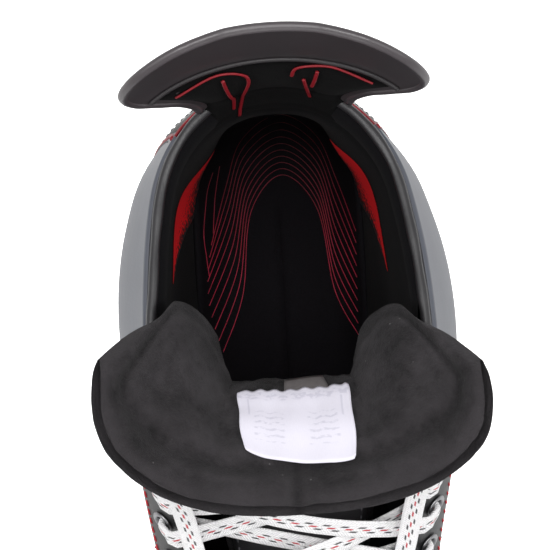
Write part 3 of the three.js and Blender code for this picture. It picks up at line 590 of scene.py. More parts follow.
def sole_z(x):
    """Height of the upper's bottom edge, falling from heel to toe."""
    return SOLE_HEEL + (SOLE_FRONT - SOLE_HEEL) * smooth((x + 70) / 140)


def on_facing(along, down):
    """Side-view place down from the throat's edge, along it from the toe (0) to the top (1)."""
    along = np.atleast_1d(np.asarray(along, float))
    p = spline(FACING, along)
    t = unit(spline(FACING, np.minimum(along + 0.01, 1)) - spline(FACING, np.maximum(along - 0.01, 0)))
    down = np.broadcast_to(np.asarray(down, float), along.shape)
    return p + np.stack([-t[:, 1] * down, t[:, 0] * down], axis=1)


# ---- Meshes -------------------------------------------------------------------------------------
def mesh_object(name, points, faces, look, body="boot", uvs=None):
    """A smooth-shaded piece in its look, riding on a body. A blended piece rides on none."""
    data = bpy.data.meshes.new(name)
    places = [tuple(float(c) * MM for c in p) for p in points]
    data.from_pydata(places, [], [tuple(int(i) for i in f) for f in faces])
    data.validate()
    if uvs is not None:
        layer = data.uv_layers.new(name="UVMap")
        for loop in data.loops:
            layer.data[loop.index].uv = uvs[loop.vertex_index]
    data.polygons.foreach_set("use_smooth", [True] * len(data.polygons))
    data.materials.append(LOOKS[look])
    made = bpy.data.objects.new(name, data)
    bpy.context.collection.objects.link(made)
    if body:
        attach(made, body)
    return made


def refine(piece, levels, render_levels=None):
    fine = piece.modifiers.new("fine", "SUBSURF")
    fine.levels = levels
    fine.render_levels = render_levels or levels


def grid(name, p, look, body="boot", wrap=False, flip=False, thick=0.0, fine=0, uv=None):
    """A quad sheet through an array of points (rows, columns, 3). wrap joins the last row to the first."""
    rows, cols = p.shape[:2]
    faces = []
    for r in range(rows if wrap else rows - 1):
        for c in range(cols - 1):
            n = (r + 1) % rows
            quad = (r * cols + c, r * cols + c + 1, n * cols + c + 1, n * cols + c)
            faces.append(quad[::-1] if flip else quad)
    if uv is None:
        u = lengths(p[:, cols // 2]) * MM
        v = lengths(p[rows // 2]) * MM
        uv = np.stack(np.meshgrid(u, v, indexing="ij"), axis=-1)
    made = mesh_object(name, p.reshape(-1, 3), faces, look, body, uv.reshape(-1, 2))
    if thick:
        solid = made.modifiers.new("thickness", "SOLIDIFY")
        solid.thickness = thick * MM
        solid.offset = -1
        solid.use_even_offset = False
    if fine:
        refine(made, fine)
    return made


def sweep(name, path, normal, half_width, half_thick, look, body="boot", sides=12, square=2.6, closed=False):
    """A rod or tape along a path: its section is a superellipse, wide across and thin along the normal."""
    n = len(path)
    along = unit(np.roll(path, -1, 0) - np.roll(path, 1, 0) if closed else np.gradient(path, axis=0))
    normal = unit(normal - along * np.sum(normal * along, axis=1, keepdims=True))
    across = np.cross(normal, along)
    a = np.linspace(0, 2 * np.pi, sides, endpoint=False)
    c, s = (np.sign(wave) * np.abs(wave) ** (2 / square) for wave in (np.cos(a), np.sin(a)))
    w = np.broadcast_to(half_width, (n,))[:, None, None]
    t = np.broadcast_to(half_thick, (n,))[:, None, None]
    rings = path[:, None] + across[:, None] * c[:, None] * w + normal[:, None] * s[:, None] * t
    faces = []
    for r in range(n if closed else n - 1):
        for k in range(sides):
            m, q = (r + 1) % n, (k + 1) % sides
            faces.append((r * sides + k, r * sides + q, m * sides + q, m * sides + k))
    if not closed:
        faces.append(tuple(range(sides))[::-1])
        faces.append(tuple((n - 1) * sides + k for k in range(sides)))
    run = lengths(path) * MM
    uvs = np.stack([np.repeat(run, sides), np.tile((c + 1) / 2, n)], axis=1)
    return mesh_object(name, rings.reshape(-1, 3), faces, look, body, uvs)


def stitches(name, path, normal, look, body="boot", stitch=3.0, gap=1.4, width=0.45, height=0.3, lean=0.0):
    """A sewn row: short rounded threads one after the other along a path."""
    run = lengths(path)
    starts = np.arange(gap / 2, run[-1] - stitch, stitch + gap)
    sides = 6
    ring = np.linspace(0, 2 * np.pi, sides, endpoint=False)
    swells = [(0.0, 0.25), (0.18, 0.9), (0.5, 1.0), (0.82, 0.9), (1.0, 0.25)]
    points, faces = [], []
    for start in starts:
        base = len(points)
        a, b = along_run(path, run, start), along_run(path, run, start + stitch)
        n = unit(along_run(unit(normal), run, start + stitch / 2))
        across = np.cross(n, unit(b - a))
        for t, swell in swells:
            centre = a + (b - a) * t + across * lean * (t - 0.5) + n * height * (np.sin(np.pi * t) - 0.25)
            for angle in ring:
                points.append(centre + (across * math.cos(angle) + n * math.sin(angle)) * width * swell)
        for r in range(base, len(points) - sides, sides):
            for k in range(sides):
                q = (k + 1) % sides
                faces.append((r + k, r + q, r + sides + q, r + sides + k))
        faces.append(tuple(base + k for k in range(sides))[::-1])
        faces.append(tuple(len(points) - sides + k for k in range(sides)))
    return mesh_object(name, points, faces, look, body)


def lathe(name, profile, place, axis, look, body="boot", sides=24):
    """A turned piece: profile is (radius, height) pairs about the unit vector axis, closed on itself."""
    first = unit(np.cross(axis, [0.3, 0.2, 0.93]))
    second = np.cross(axis, first)
    a = np.linspace(0, 2 * np.pi, sides, endpoint=False)
    ring = np.cos(a)[:, None] * first + np.sin(a)[:, None] * second
    points = [np.asarray(place) + ring * r + axis * h for r, h in profile]
    p = np.concatenate([points, points[:1]])
    return grid(name, p.transpose(1, 0, 2), look, body, wrap=True)


def patch(bottom, top, left, right, nu, nv, bend=1.0):
    """Side-view places filling four boundary curves. u runs left to right, v bottom to top."""
    u = np.linspace(0, 1, nu) ** bend
    v = np.linspace(0, 1, nv)
    b, t = spline_even(bottom, u), spline_even(top, u)
    l, r = spline_even(left, v), spline_even(right, v)
    return filled(b, t, l, r, u[:, None, None], v[None, :, None])


def filled(b, t, l, r, u, v):
    """The places between four edges that meet at their ends: bottom, top, left and right."""
    edge = (1 - v) * b[:, None] + v * t[:, None] + (1 - u) * l[None] + u * r[None]
    corner = (1 - u) * (1 - v) * b[0] + u * (1 - v) * b[-1] + (1 - u) * v * t[0] + u * v * t[-1]
    return edge - corner


# ---- Laces --------------------------------------------------------------------------------------
THROAT_UP = np.array([0.66, 0, 0.75])
NARROW, LACE_WIDTH, LACE_THICK = 3.6, 8.0, 1.2


def eyelet_place(i, side):
    """An eyelet's centre, its way up out of the strip, and its way towards the throat's edge."""
    a = 0.03 + 0.94 * i / (EYELETS - 1)
    x, z = on_facing(a, 6.5)[0]
    at = shell(x, z, side)
    up = shell(x, z, side, 0, 1) - at
    x2, z2 = on_facing(a, 5.5)[0]
    return {"at": at, "up": unit(up), "edge": unit(shell(x2, z2, side) - at)}


def off_eyelet(p, up, edge):
    return p["at"] + p["up"] * up + p["edge"] * edge


def turn_between(a, b, v):
    """The vector v turned by the rotation that takes a to b."""
    axis = np.cross(a, b)
    s, c = np.linalg.norm(axis), float(np.dot(a, b))
    if s < 1e-6:
        return v
    axis = axis / s
    return v * c + np.cross(axis, v) * s + axis * np.dot(axis, v) * (1 - c)


def tape(name, stops, look, fine=3, thick=LACE_THICK, **settings):
    """A flat lace through stops of (place, face direction, width)."""
    places = np.array([s[0] for s in stops], float)
    along = unit(np.gradient(places, axis=0))
    faces, last = [], None
    for k, (_, face, _) in enumerate(stops):
        across = unit(np.cross(face, along[k]))
        if last is not None and np.dot(turn_between(along[k - 1], along[k], last), across) < 0:
            across = -across
        last = across
        faces.append(np.cross(along[k], across))
    t = np.linspace(0, 1, fine * (len(stops) - 1) + 1)
    keys = np.linspace(0, 1, len(stops))
    width = np.interp(t, keys, [s[2] for s in stops])
    normal = np.stack([np.interp(t, keys, np.array(faces)[:, k]) for k in range(3)], axis=1)
    path = spline(places, t)
    bulge = np.interp(width, [NARROW, LACE_WIDTH], [thick * 0.95, thick * 0.5])
    return sweep(name, path, normal, width / 2, bulge, look, sides=16, square=3.2, **settings), path


def through_eyelet(p):
    """The lace, pinched narrow, from inside the boot out through an eyelet."""
    return [
        (off_eyelet(p, -5.2, 0.4), p["edge"] + p["up"] * 0.8, NARROW),
        (off_eyelet(p, -3.6, 0), p["edge"], NARROW),
        (off_eyelet(p, 2.2, 0), p["edge"], NARROW),
    ]


def crossing(i, side, over):
    """One run of lace: out through eyelet i, over the tongue, and in under the next one of the other side."""
    start, end = eyelet_place(i, side), eyelet_place(i + 1, -side)
    a, b = off_eyelet(start, 4.6, 8.5), off_eyelet(end, -5.2, 9)
    stops = through_eyelet(start)
    stops.append((off_eyelet(start, 3.7, 1.6), start["up"] - start["edge"], NARROW + 1))
    stops.append((off_eyelet(start, 4.3, 4), start["up"], LACE_WIDTH - 2))
    stops.append((a, start["up"], LACE_WIDTH))
    for t in (0.15, 0.3, 0.42, 0.5, 0.58, 0.7, 0.85):
        arch = a + (b - a) * t + THROAT_UP * (4 + over) * math.sin(math.pi * t) ** 0.8
        if t < 0.5:
            w = min(1, 4 * t)
            face = start["up"] * (1 - w) + THROAT_UP * w
        else:
            w = max(0, 4 * t - 3)
            face = THROAT_UP * (1 - w) + end["up"] * w
        stops.append((arch, face, LACE_WIDTH))
    stops.append((b, end["up"], LACE_WIDTH - 1))
    stops.append((off_eyelet(end, -5.4, 4.5), end["up"], NARROW + 1))
    stops.append((off_eyelet(end, -5.8, 1.8), end["up"], NARROW))
    return stops


def lace_strand(name, side):
    """Half of the lace, from the middle of its toe bar up through every pair of eyelets."""
    p, q = eyelet_place(0, side), eyelet_place(0, -side)
    middle = (p["at"] + q["at"]) / 2 - THROAT_UP * 1.5
    inner = off_eyelet(p, -5.2, 9)
    stops = [
        (middle + [0, side * 0.4, 0], THROAT_UP, LACE_WIDTH),
        (middle + (inner - middle) * 0.6, THROAT_UP, LACE_WIDTH),
        (off_eyelet(p, -5.6, 5), p["up"], NARROW + 1),
        (off_eyelet(p, -5.8, 1.8), p["up"], NARROW),
    ]
    at = side
    for i in range(EYELETS - 1):
        stops += crossing(i, at, 3.7 if (at > 0) == (i % 2 == 0) else -3.3)
        at = -at
    strand, _ = tape(f"lace_run_{name}", stops, "lace", fine=2)
    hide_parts(f"lace_strand_{name}")


KNOT = np.array([84.0, 3.0, 149.0])
KNOT_TILT = 0.42
LEVEL = LACE_THICK + 0.6
BOW_UP = np.array([math.sin(KNOT_TILT), 0, math.cos(KNOT_TILT)])
BOW_FRONT = np.array([math.cos(KNOT_TILT), 0, -math.sin(KNOT_TILT)])
# Each end's route: out of the top eyelet, down to the knot, through its loop, back through the knot and down.
FREE_ROUTES = {
    "medial": [
        (-20.5, 45, 235.2), (-7, 43, 230), (10, 39, 209), (33, 35, 183), (52, 29, 167), (68, 23, 158.5),
        (79, 14, 150.4), (84, 7.5, 149), (84, -1.5, 149), (87.5, -14, 147), (92.5, -30, 148.5),
        (96, -40, 156.5), (95.5, -35, 167), (87, -19, 163), (80, -7, 157), (85.5, -1.5, 152.3),
        (85.5, 7.5, 152.3), (93, 17, 150.5), (100.5, 29, 142), (106, 41, 132.5), (110, 53, 116.5),
    ],
    "lateral": [
        (-20.5, -45, 235.2), (-7, -42.5, 230), (10, -38, 209), (33, -34, 183), (52, -27, 167.5),
        (68.5, -18, 160), (80, -8.5, 153), (84.7, -1.5, 150.7), (84.7, 7.5, 150.7), (87, 20, 148.2),
        (93.5, 36, 150), (97, 46, 158.5), (96, 41, 168.5), (87.5, 25, 164.5), (80.5, 13, 158.5),
        (86.2, 7.5, 154), (86.2, -1.5, 154), (92.5, -11, 151), (100.5, -23, 142), (106, -35, 132.5),
        (110, -47, 116.5),
    ],
}


def tilted(angle, side):
    """The bow's way up, turned by angle about the boot's length."""
    return BOW_UP * math.cos(angle) + np.array([0, -side * math.sin(angle), 0])


def centripetal(points, per_span):
    """The curve through the points that keeps sharp turns free of loops."""
    points = np.asarray(points, float)
    out = []
    for i in range(len(points) - 1):
        p1, p2 = points[i], points[i + 1]
        p0 = points[i - 1] if i else p1 - (p2 - p1)
        p3 = points[i + 2] if i + 2 < len(points) else p2 + (p2 - p1)
        d0, d1, d2 = (max(1e-4, np.linalg.norm(b - a) ** 0.5) for a, b in ((p0, p1), (p1, p2), (p2, p3)))
        m1 = ((p1 - p0) / d0 - (p2 - p0) / (d0 + d1) + (p2 - p1) / d1) * d1
        m2 = ((p2 - p1) / d1 - (p3 - p1) / (d1 + d2) + (p3 - p2) / d2) * d1
        for t in np.arange(per_span) / per_span:
            ends = (2 * t**3 - 3 * t**2 + 1) * p1 + (3 * t**2 - 2 * t**3) * p2
            out.append(ends + (t**3 - 2 * t**2 + t) * m1 + (t**3 - t**2) * m2)
    out.append(points[-1])
    return np.array(out)


def free_lace(name, side):
    """A free end of the lace with its half of the bow."""
    route = FREE_ROUTES[name]
    per_span = 4
    line = centripetal(route, per_span)
    first = eyelet_place(EYELETS - 1, side)
    loop = [tilted(a, -side) for a in (0.4, 1.4, 2.6, 3.5, 3.35)]
    after_knot = [-BOW_UP] * 4 + [tilted(-2.6, side), tilted(-2.3, side)]
    turns = [first["up"]] * 2 + [THROAT_UP] * 3 + [BOW_UP] * 5 + loop + after_knot
    stops = through_eyelet(first)
    stops.append((off_eyelet(first, 4, 1.6), first["up"] - first["edge"], NARROW + 1))
    stops.append((off_eyelet(first, 4.7, 4), first["up"], LACE_WIDTH - 2))
    for k, place in enumerate(line):
        i = min(len(route) - 2, k // per_span)
        f = k / per_span - i
        in_knot = abs(place[1] - KNOT[1]) < 9 and k > 16
        width = 5.4 if in_knot else 4 if k < 2 else 7
        stops.append((place, turns[i] * (1 - f) + turns[i + 1] * f, width))
    made, rings = tape(f"lace_free_{name}", stops, "lace", fine=2)
    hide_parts(f"lace_end_{name}")
    tip = free_lace_tip(name, line)


def free_lace_tip(name, line):
    """The clear tip crimped on the lace's end, with its two pinched rings."""
    along = unit(line[-1] - line[-2])
    start = line[-1] + along * 0.2
    profile = [(0.05, 0), (1.75, 0), (2.1, 1.2), (2.0, 4), (1.8, 5), (2.0, 6), (1.95, 13), (1.75, 14),
               (1.95, 15), (1.7, 18.5), (1.2, 19.8), (0.05, 19.9)]
    tip = lathe(f"lace_tip_{name}", profile, start, along, "aglet", sides=16)
    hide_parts(f"aglet_{name}")
    return tip


def lace_knot():
    """The bow's knot: a snug turn of lace wrapped round the four passes."""
    low, high = -LACE_THICK / 2 - 0.6, 3 * LEVEL + LACE_THICK / 2 + 0.6
    wide, tall, middle = 4.3, (high - low) / 2 + 0.9, (low + high) / 2
    a = np.linspace(0, 2 * math.pi, 29)[:-1, None]
    c, s = np.cos(a), np.sin(a)
    out, up = (np.copysign(np.abs(wave) ** 0.6, wave) for wave in (c, s))
    path = KNOT + BOW_FRONT * out * wide + BOW_UP * (middle + up * tall) + np.array([0, 0.7, 0]) * s
    normal = BOW_FRONT * c + BOW_UP * s
    made = sweep("lace_bow_knot", path, normal, 3.9, 0.8, "lace", sides=16, closed=True)
    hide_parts("lace_knot")


def eyelets():
    """Pressed metal rings with a rolled flange, one through each hole of the eyelet strips."""
    profile = [(2.6, -3.4), (3.1, -3.4), (3.1, 1.8), (4.25, 1.8), (4.4, 2.05), (4.2, 2.4), (3.6, 2.62),
               (3.0, 2.5), (2.62, 2.1)]
    for name, side in SIDES.items():
        for i in range(EYELETS):
            p = eyelet_place(i, side)
            ring = lathe(f"eyelet_ring_{name}_{i + 1}", profile, p["at"], p["up"], "eyelet", sides=20)
            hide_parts(f"eyelet_{name}_{i + 1}")


# ---- Boot shell ---------------------------------------------------------------------------------
def pane(p, name, look, out_from, **settings):
    """A grid turned so that its faces look away from the place out_from."""
    r, c = (min(n // 2, n - 2) for n in p.shape[:2])
    normal = np.cross(p[r, c + 1] - p[r, c], p[r + 1, c] - p[r, c])
    flip = np.dot(normal, p[r, c] - np.asarray(out_from)) < 0
    return grid(name, p, look, flip=bool(flip), **settings)


def back_line(z0, z1):
    """The heel's outline in side view."""
    z = np.linspace(z0, z1, 9)
    return np.stack([back_x(z), z], axis=1)


def sole_line(x0, x1, rise=0.0, count=11):
    """The upper's bottom edge in side view, raised by rise."""
    x = np.linspace(x0, x1, count)
    return np.stack([x, sole_z(x) + rise], axis=1)


BOOT_CENTRE = (-20, 0, 140)
COLLAR_UP = COLLAR[::-1]
THROAT_TOP = COLLAR_UP + FACING[::-1][1:]


def quarter(name, side):
    """One side of the boot's shell from the heel seam to the toe cap."""
    bottom = sole_line(float(back_x(76)), 98)
    st = patch(bottom, THROAT_TOP, back_line(76, 213), TOE_CAP_LINE, 74, 36, bend=1.7)
    p = shell(st[..., 0], st[..., 1], side)
    made = pane(p, f"quarter_skin_{name}", "shell", BOOT_CENTRE, thick=1.8, fine=1)
    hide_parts(f"quarter_{name}")


def overlay(name, st, side, lift, look, edge=0.35, **settings):
    """A thin panel laid on the shell: its border turns down and sinks just under the surface."""
    inner = np.pad(st, ((1, 1), (1, 1), (0, 0)), mode="edge")
    rise = np.full(inner.shape[:2], lift)
    rise[[0, -1], :] = -edge
    rise[:, [0, -1]] = -edge
    return pane(shell(inner[..., 0], inner[..., 1], side, 0, rise), name, look, BOOT_CENTRE, **settings)


def ankle_panel(name, side):
    """The satin panel over the ankle with its sewn border, and three slanted ribs moulded on it."""
    left = [(-106, 112), (-115, 150), (-117, 185), (-114, 211.5)]
    right = [(-34, 104), (-18, 140), (-21, 178), (-41, 227)]
    bottom = [(-106, 112), (-86, 98), (-58, 94), (-34, 104)]
    top = [(-114, 211.5), (-90, 215.5), (-65, 221.5), (-41, 227)]
    st = patch(bottom, top, left, right, 30, 34)
    overlay(f"ankle_panel_{name}", st, side, 0.9, "ankle")
    borders = [(left, (3, 0), 0.86, "grey_thread"), (right, (-3, 0), 0.97, "grey_thread"),
               (bottom, (0, 3), 0.97, "red_thread")]
    for k, (line, shift, end, colour) in enumerate(borders):
        path = spline_even(np.add(line, shift), np.linspace(0.03, end, 60))
        sewn(f"ankle_panel_stitch_{name}_{k + 1}", path, side, 0.9, colour, width=0.36, height=0.2)
    for k in range(3):
        low, high = [(-92, 112), (-87, 108)], [(-78, 146), (-76, 147)]
        back, front = [low[0], (-86, 130), high[0]], [low[1], (-82, 128), high[1]]
        st = patch(*(np.add(line, (10 * k, 0)) for line in (low, high, back, front)), 3, 20)
        overlay(f"ankle_rib_{name}_{k + 1}", st, side, 1.9, "shell", fine=1)


def sewn(name, path, side, lift, look, **settings):
    """A row of stitches along a side-view path, standing lift off the shell."""
    stitches(name, *shell_path(path, side, lift), look, **settings)


def vamp_panels(name, side):
    """Forefoot panel, its double seam, and a red pinstripe above the sole."""
    bottom = sole_line(10, 96, 5.5)
    top = on_facing(np.linspace(0.36, 0.0, 7), 18)
    left = [bottom[0], (14, 105), (26, 132), top[0]]
    right = [bottom[-1], (96, 90), (93, 112), top[-1]]
    st = patch(bottom, top, left, right, 30, 22)
    overlay(f"vamp_panel_{name}", st, side, 0.8, "shell")
    for k, d in enumerate((2.6, 5.0)):
        path = spline_even(np.add(left, (d, 0)), np.linspace(0.04, 0.96, 60))
        sewn(f"vamp_stitch_{name}_{k + 1}", path, side, 0.9, ("red_thread", "black_thread")[k])
    line = sole_line(-60, 150, 3.2, 80)
    sweep(f"sole_pinstripe_{name}", *shell_path(line, side, 0.5), 0.9, 0.35, "red_piping")


def facing_strip(name, side):
    """The reinforcing strip that carries the eyelets, with a red stitched row along each edge."""
    along = np.linspace(0.0, 0.995, 70)
    st = np.stack([on_facing(along, down) for down in np.linspace(0.9, 15.9, 8)], axis=1)
    made = overlay(f"facing_strip_{name}", st, side, 1.5, "facing", edge=-0.1)
    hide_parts(f"facing_{name}")
    for k, (down, look) in enumerate(((13.6, "red_thread"), (2.2, "black_thread"))):
        path = on_facing(np.linspace(0.02, 0.985, 220), down)
        sewn(f"facing_stitch_{name}_{k + 1}", path, side, 1.55, look, gap=1.9, width=0.36, lean=0.9)


def throat_rim(name, side):
    """The quarter's rolled raw edge along the throat."""
    edge = on_facing(np.linspace(0, 1, 60), 0.4)
    p = shell(edge[:, 0], edge[:, 1], side, 0.4)
    q = shell(edge[:, 0], edge[:, 1], side, 0, 1)
    sweep(f"throat_rim_{name}", p, q - p, 1.1, 1.7, "facing", square=2.2)


def collar_binding():
    """One soft rolled binding round the collar, from the front of one side past the heel to the other."""
    line = spline_even(COLLAR_UP, np.linspace(0, 1, 70) ** 1.3)
    medial, lateral = (shell(line[:, 0] + 0.2, line[:, 1], side, 1.6) for side in (1, -1))
    path = evenly(np.concatenate([lateral[::-1], medial[1:]]), 150)
    t = np.linspace(-1, 1, 150)
    normal = np.tile([0.0, 0.0, 1.0], (150, 1))
    path[:, 2] += 0.6
    fullness = 1 + 0.10 * np.sin(t * 37) * np.sin(t * 11 + 1)
    made = sweep("collar_roll", path, normal, 1.7 * fullness, 1.9 * fullness, "binding", sides=16, square=2.1)
    refine(made, 1, 2)
    for name, side in SIDES.items():
        line = spline_even(COLLAR_UP, np.linspace(0.42, 0.985, 80))
        row = line - [0, 3.4]
        sewn(f"collar_stitch_{name}", row, side, 0.1, "grey_thread", stitch=2.6, gap=1.2, width=0.28)


def heel_piping():
    """Thin red piping down both sides of the heel, outside the collar near the tendon guard."""
    heel = [(-131, 205), (-126, 202), (-119, 203), (-113.5, 208)]
    seam = [(-113.5, 208), (-116, 180), (-112, 150), (-102, 122), (-84, 108), (-62, 84)]
    for name, side in SIDES.items():
        path = shell_path(spline_even(heel, np.linspace(0, 1, 30)), side, 0.4)
        sweep(f"heel_piping_{name}", *path, 1.0, 0.7, "red_piping", square=2.0)
        path = shell_path(spline_even(seam, np.linspace(0, 1, 70)), side, 1.0)
        sweep(f"quarter_piping_{name}", *path, 0.9, 0.7, "red_piping", square=2.0)


def both_sides(st, lift, depth=0.0):
    """A panel's points on both sides of the boot, joined at the first row, which lies on the middle line."""
    sides = [shell(st[..., 0], st[..., 1], side, depth, lift) for side in (-1, 1)]
    return np.concatenate([sides[0][::-1], sides[1][1:]])


def heel_counter():
    """A moulded cup round the outside of the heel, proud of the shell with a rounded edge."""
    bottom = [(float(back_x(77)), 77), (-100, 77), (-62, 77.4)]
    right = [(-62, 77.4), (-66, 92), (-84, 112), (-104, 132), (-118, 158), (-124, 184)]
    top = [(float(back_x(187)), 187), (-128, 186), (-124, 184)]
    st = patch(bottom, top, back_line(77, 187), right, 26, 30, bend=1.6)
    st = np.concatenate([st, st[-1:]])
    st = np.pad(st, ((0, 0), (1, 1), (0, 0)), mode="edge")
    lift = np.full(st.shape[:2], 1.9)
    lift[-1, :] = 0.1
    lift[:, [0, -1]] = 0.1
    made = pane(both_sides(st, lift), "heel_cup", "counter", (-60, 0, 140), fine=1)
    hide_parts("heel_counter")
    for name, side in SIDES.items():
        path = spline_even(np.subtract(right[1:], (3.2, 0)), np.linspace(0.02, 0.95, 60))
        sewn(f"heel_cup_stitch_{name}", path, side, 1.85, "black_thread", width=0.36, height=0.16)
    z = np.linspace(190, 211, 12)
    seam = np.stack([back_x(z) - 0.3, 0 * z, z], axis=1)
    sweep("heel_seam_tape", seam, np.tile([-1.0, 0, 0], (12, 1)), 4.2, 0.8, "binding", square=3)


def crowded(count, power):
    """Steps from 0 to 1 that draw together towards 1."""
    return 1 - (1 - np.linspace(0, 1, count)) ** power


def toe_cap():
    """The hard glossy cap over the toes, in one piece with a stepped edge where it meets the quarters."""
    nu, nv = 44, 36
    left = [(98.3, 66), (98.3, 78), (97.3, 100), (94.3, 120), (90.8, 136.3)]
    top = [left[-1], (112, 131), (138, 122), (156, 104), (160, 80)]
    bottom = [left[0], (130, 66), (160, 66)]
    right = [(160, 66), (160, 73), (160, 80)]
    b, t = spline_even(bottom, crowded(nu, 1.7)), spline_even(top, crowded(nu, 1.4))
    v = crowded(nv, 1.6)
    l, r = (spline_even(spline_even(edge, np.linspace(0, 1, nv)), v) for edge in (left, right))
    st = filled(b, t, l, r, np.linspace(0, 1, nu)[:, None, None], v[None, :, None])
    sides = [shell(st[..., 0], st[..., 1], side) for side in (1, -1)]
    p = np.concatenate([sides[0], sides[1][:, ::-1][:, 1:]], axis=1)
    made = pane(p, "toe_cap_shell", "cap", (60, 0, 90), thick=2.4, fine=1)
    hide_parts("toe_cap")
    step = [(101, 66.5), (101, 78), (100, 100), (97, 118), (94.5, 131)]
    edge = spline_even(step, np.linspace(0, 1, 50))
    row = edge + [3.4, 0]
    for name, side in SIDES.items():
        sweep(f"toe_cap_ridge_{name}", *shell_path(edge, side, 0.3), 1.6, 0.9, "cap", square=2.0)
        sewn(f"toe_cap_stitch_{name}", row, side, 0.1, "grey_thread", stitch=2.6, gap=1.3, width=0.4)


# The sole plate's section, from the middle of its top round the edge to the middle of its bottom: share of
# the half width, and height against the upper's bottom edge.
SOLE_EDGE = [(0.0, -0.3), (0.98, -0.3), (1.0, -0.8), (1.004, -2.3), (1.0, -3.9), (0.98, -4.3), (0.0, -4.3)]


def outsole():
    """The composite sole plate between the upper and the holder."""
    xs = -134 + 294 * (0.5 + 0.5 * np.sin(np.linspace(-0.5, 0.5, 90) * np.pi))
    inner, outer = (shell_y(xs, sole_z(xs) + 0.5, side, -0.6) for side in (1, -1))
    x = np.concatenate([xs, xs[-2:0:-1]])
    y = np.concatenate([inner, outer[-2:0:-1]])
    middle = middle_y(x)
    rows = []
    for scale, drop in SOLE_EDGE:
        spread = 1 + (scale - 1) * 0.3 if scale else 1
        plan_x = 10 + (x - 10) * spread
        rows.append(np.stack([plan_x, middle + (y - middle) * scale, sole_z(plan_x) + drop], axis=1))
    p = np.stack(rows, axis=1)
    made = grid("sole_plate", p, "sole", wrap=True)
    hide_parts("outsole")


# ---- Inside of the boot -------------------------------------------------------------------------
COLLAR_STEPS = spline(COLLAR_UP, np.linspace(0, 1, 49))


def lining_depth(x, z):
    """How far the lining stands in from the shell: a rolled edge, a shallow hollow, then even padding."""
    d = gap_to(COLLAR_STEPS, x, z)
    edge = 1.5 + 6.0 * np.sqrt(1 - (1 - np.clip(d / 13, 0, 1)) ** 2)
    hollow = 1.4 * np.exp(-((d - 19) / 5.0) ** 2)
    return edge + 1.8 * smooth((d - 14) / 26) - hollow


def mound(x, z, rise, at_x, at_z, wide, tall):
    return rise * np.exp(-(((x - at_x) / wide) ** 2) - ((z - at_z) / tall) ** 2)


def ankle_bulge(x, z):
    """How much thicker the padding is over the ankle bones and beside the heel tendon."""
    return mound(x, z, 8.3, -66, 165, 38, 30) + mound(x, z, 8, -113, 138, 13, 38)


def lining_y(x, z, side):
    """The lining's place across the boot."""
    return shell_y(x, z, side, lining_depth(x, z), ankle_bulge(x, z))


def lining(x, z, side, lift=0.0):
    """Points of the lining's face over side-view places, standing lift towards the foot."""
    return off_surface(lambda px, pz: lining_y(px, pz, side), x, z, lift, 0.6, -side)


def liner(name, side):
    """The lining of one side, from the heel forwards to the instep."""
    top = COLLAR_UP[:-1] + list(on_facing([0.88, 0.7, 0.5, 0.3, 0.1], 19))
    front = [(78, 78), (78, 96), (74, 112), top[-1]]
    bottom = [(float(back_x(84)), 84), (-60, 82), (10, 76), (78, 78)]
    st = patch(bottom, top, back_line(84, 213), front, 110, 64, bend=1.6)
    x, z = st[..., 0], st[..., 1]
    depth = lining_depth(x, z)
    x = x + depth * (1 - smooth((x - back_x(z)) / 60))
    p = lining(x, z, side)
    p[0, :, 0] = back_x(z[0]) + lining_depth(x[0], z[0])
    p[0, :, 1] = 0
    made = grid(f"liner_face_{name}", p, "lining", flip=side < 0, fine=1)
    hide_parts(f"liner_{name}")


def ankle_pad(name, side):
    """Foam over the ankle bones, between the shell and the lining: a lens with a thin edge."""
    angle = np.linspace(0, 2 * math.pi, 40, endpoint=False)
    rings = [(0.0, 0), (0.3, 0), (0.6, 0), (0.85, 0), (1.0, 0.15)]
    rings += [(1.0, 0.5), (0.9, 1), (0.6, 1), (0.3, 1), (0.0, 1)]
    near = 3.4
    rows = []
    for r, inner in rings:
        x = -66 + 38 * r * np.cos(angle)
        z = 165 + 36 * r * np.sin(angle)
        far = np.maximum(near + 1.5, lining_depth(x, z) + ankle_bulge(x, z) - 2.6)
        rows.append(np.stack([x, shell_y(x, z, side, near, (far - near) * inner), z], axis=-1))
    made = pane(np.stack(rows, axis=1), f"ankle_foam_{name}", "foam", (-66, side * 46, 165), wrap=True)
    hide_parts(f"ankle_pad_{name}")


# The printed ankle wedges' upper and lower edges in side view.
FLASH_OUTER = {
    "lateral": [(-114, 142), (-100, 147), (-84, 146), (-66, 144)],
    "medial": [(-115, 150), (-105, 163), (-92, 152), (-66, 150)],
}
FLASH_INNER = {
    "lateral": [(-113, 138), (-98, 98), (-84, 120), (-66, 142)],
    "medial": [(-114, 147), (-98, 102), (-84, 126), (-66, 148)],
}


def ankle_flash(name, side):
    """The red wedge printed on the ankle padding, sharp above and fading downwards."""
    u = np.linspace(0, 1, 50)
    top, low = spline_even(FLASH_OUTER[name], u), spline_even(FLASH_INNER[name], u)
    v = np.linspace(0, 1, 10)
    st = low[:, None] * (1 - v[None, :, None]) + top[:, None] * v[None, :, None]
    p = lining(st[..., 0], st[..., 1], side, 0.35)
    uv = np.stack([np.repeat(u[:, None], 10, 1), np.repeat(v[None], 50, 0)], axis=-1)
    grid(f"ankle_flash_{name}", p, "flash", uv=uv, flip=side < 0)


def bed_reach(x, y):
    """How close a place on the footbed is to the wall: 0 on the middle line, 1 at the wall."""
    z = sole_z(x) + 10
    depth = 9.9
    wide = np.where(y >= middle_y(x), wall_width(x, z, 1), wall_width(x, z, -1))
    q = np.abs(y - middle_y(x)) / (wide - depth)
    heel = np.clip(1 - (x - back_x(z) - depth) / (BACK_ROUND - depth), 0, 2)
    toe = np.clip(1 - (TOE_X - depth - x) / (TOE_ROUND - depth), 0, 2)
    return (q**2.4 + heel**2.4 + toe**2.4) ** (1 / 2.4)


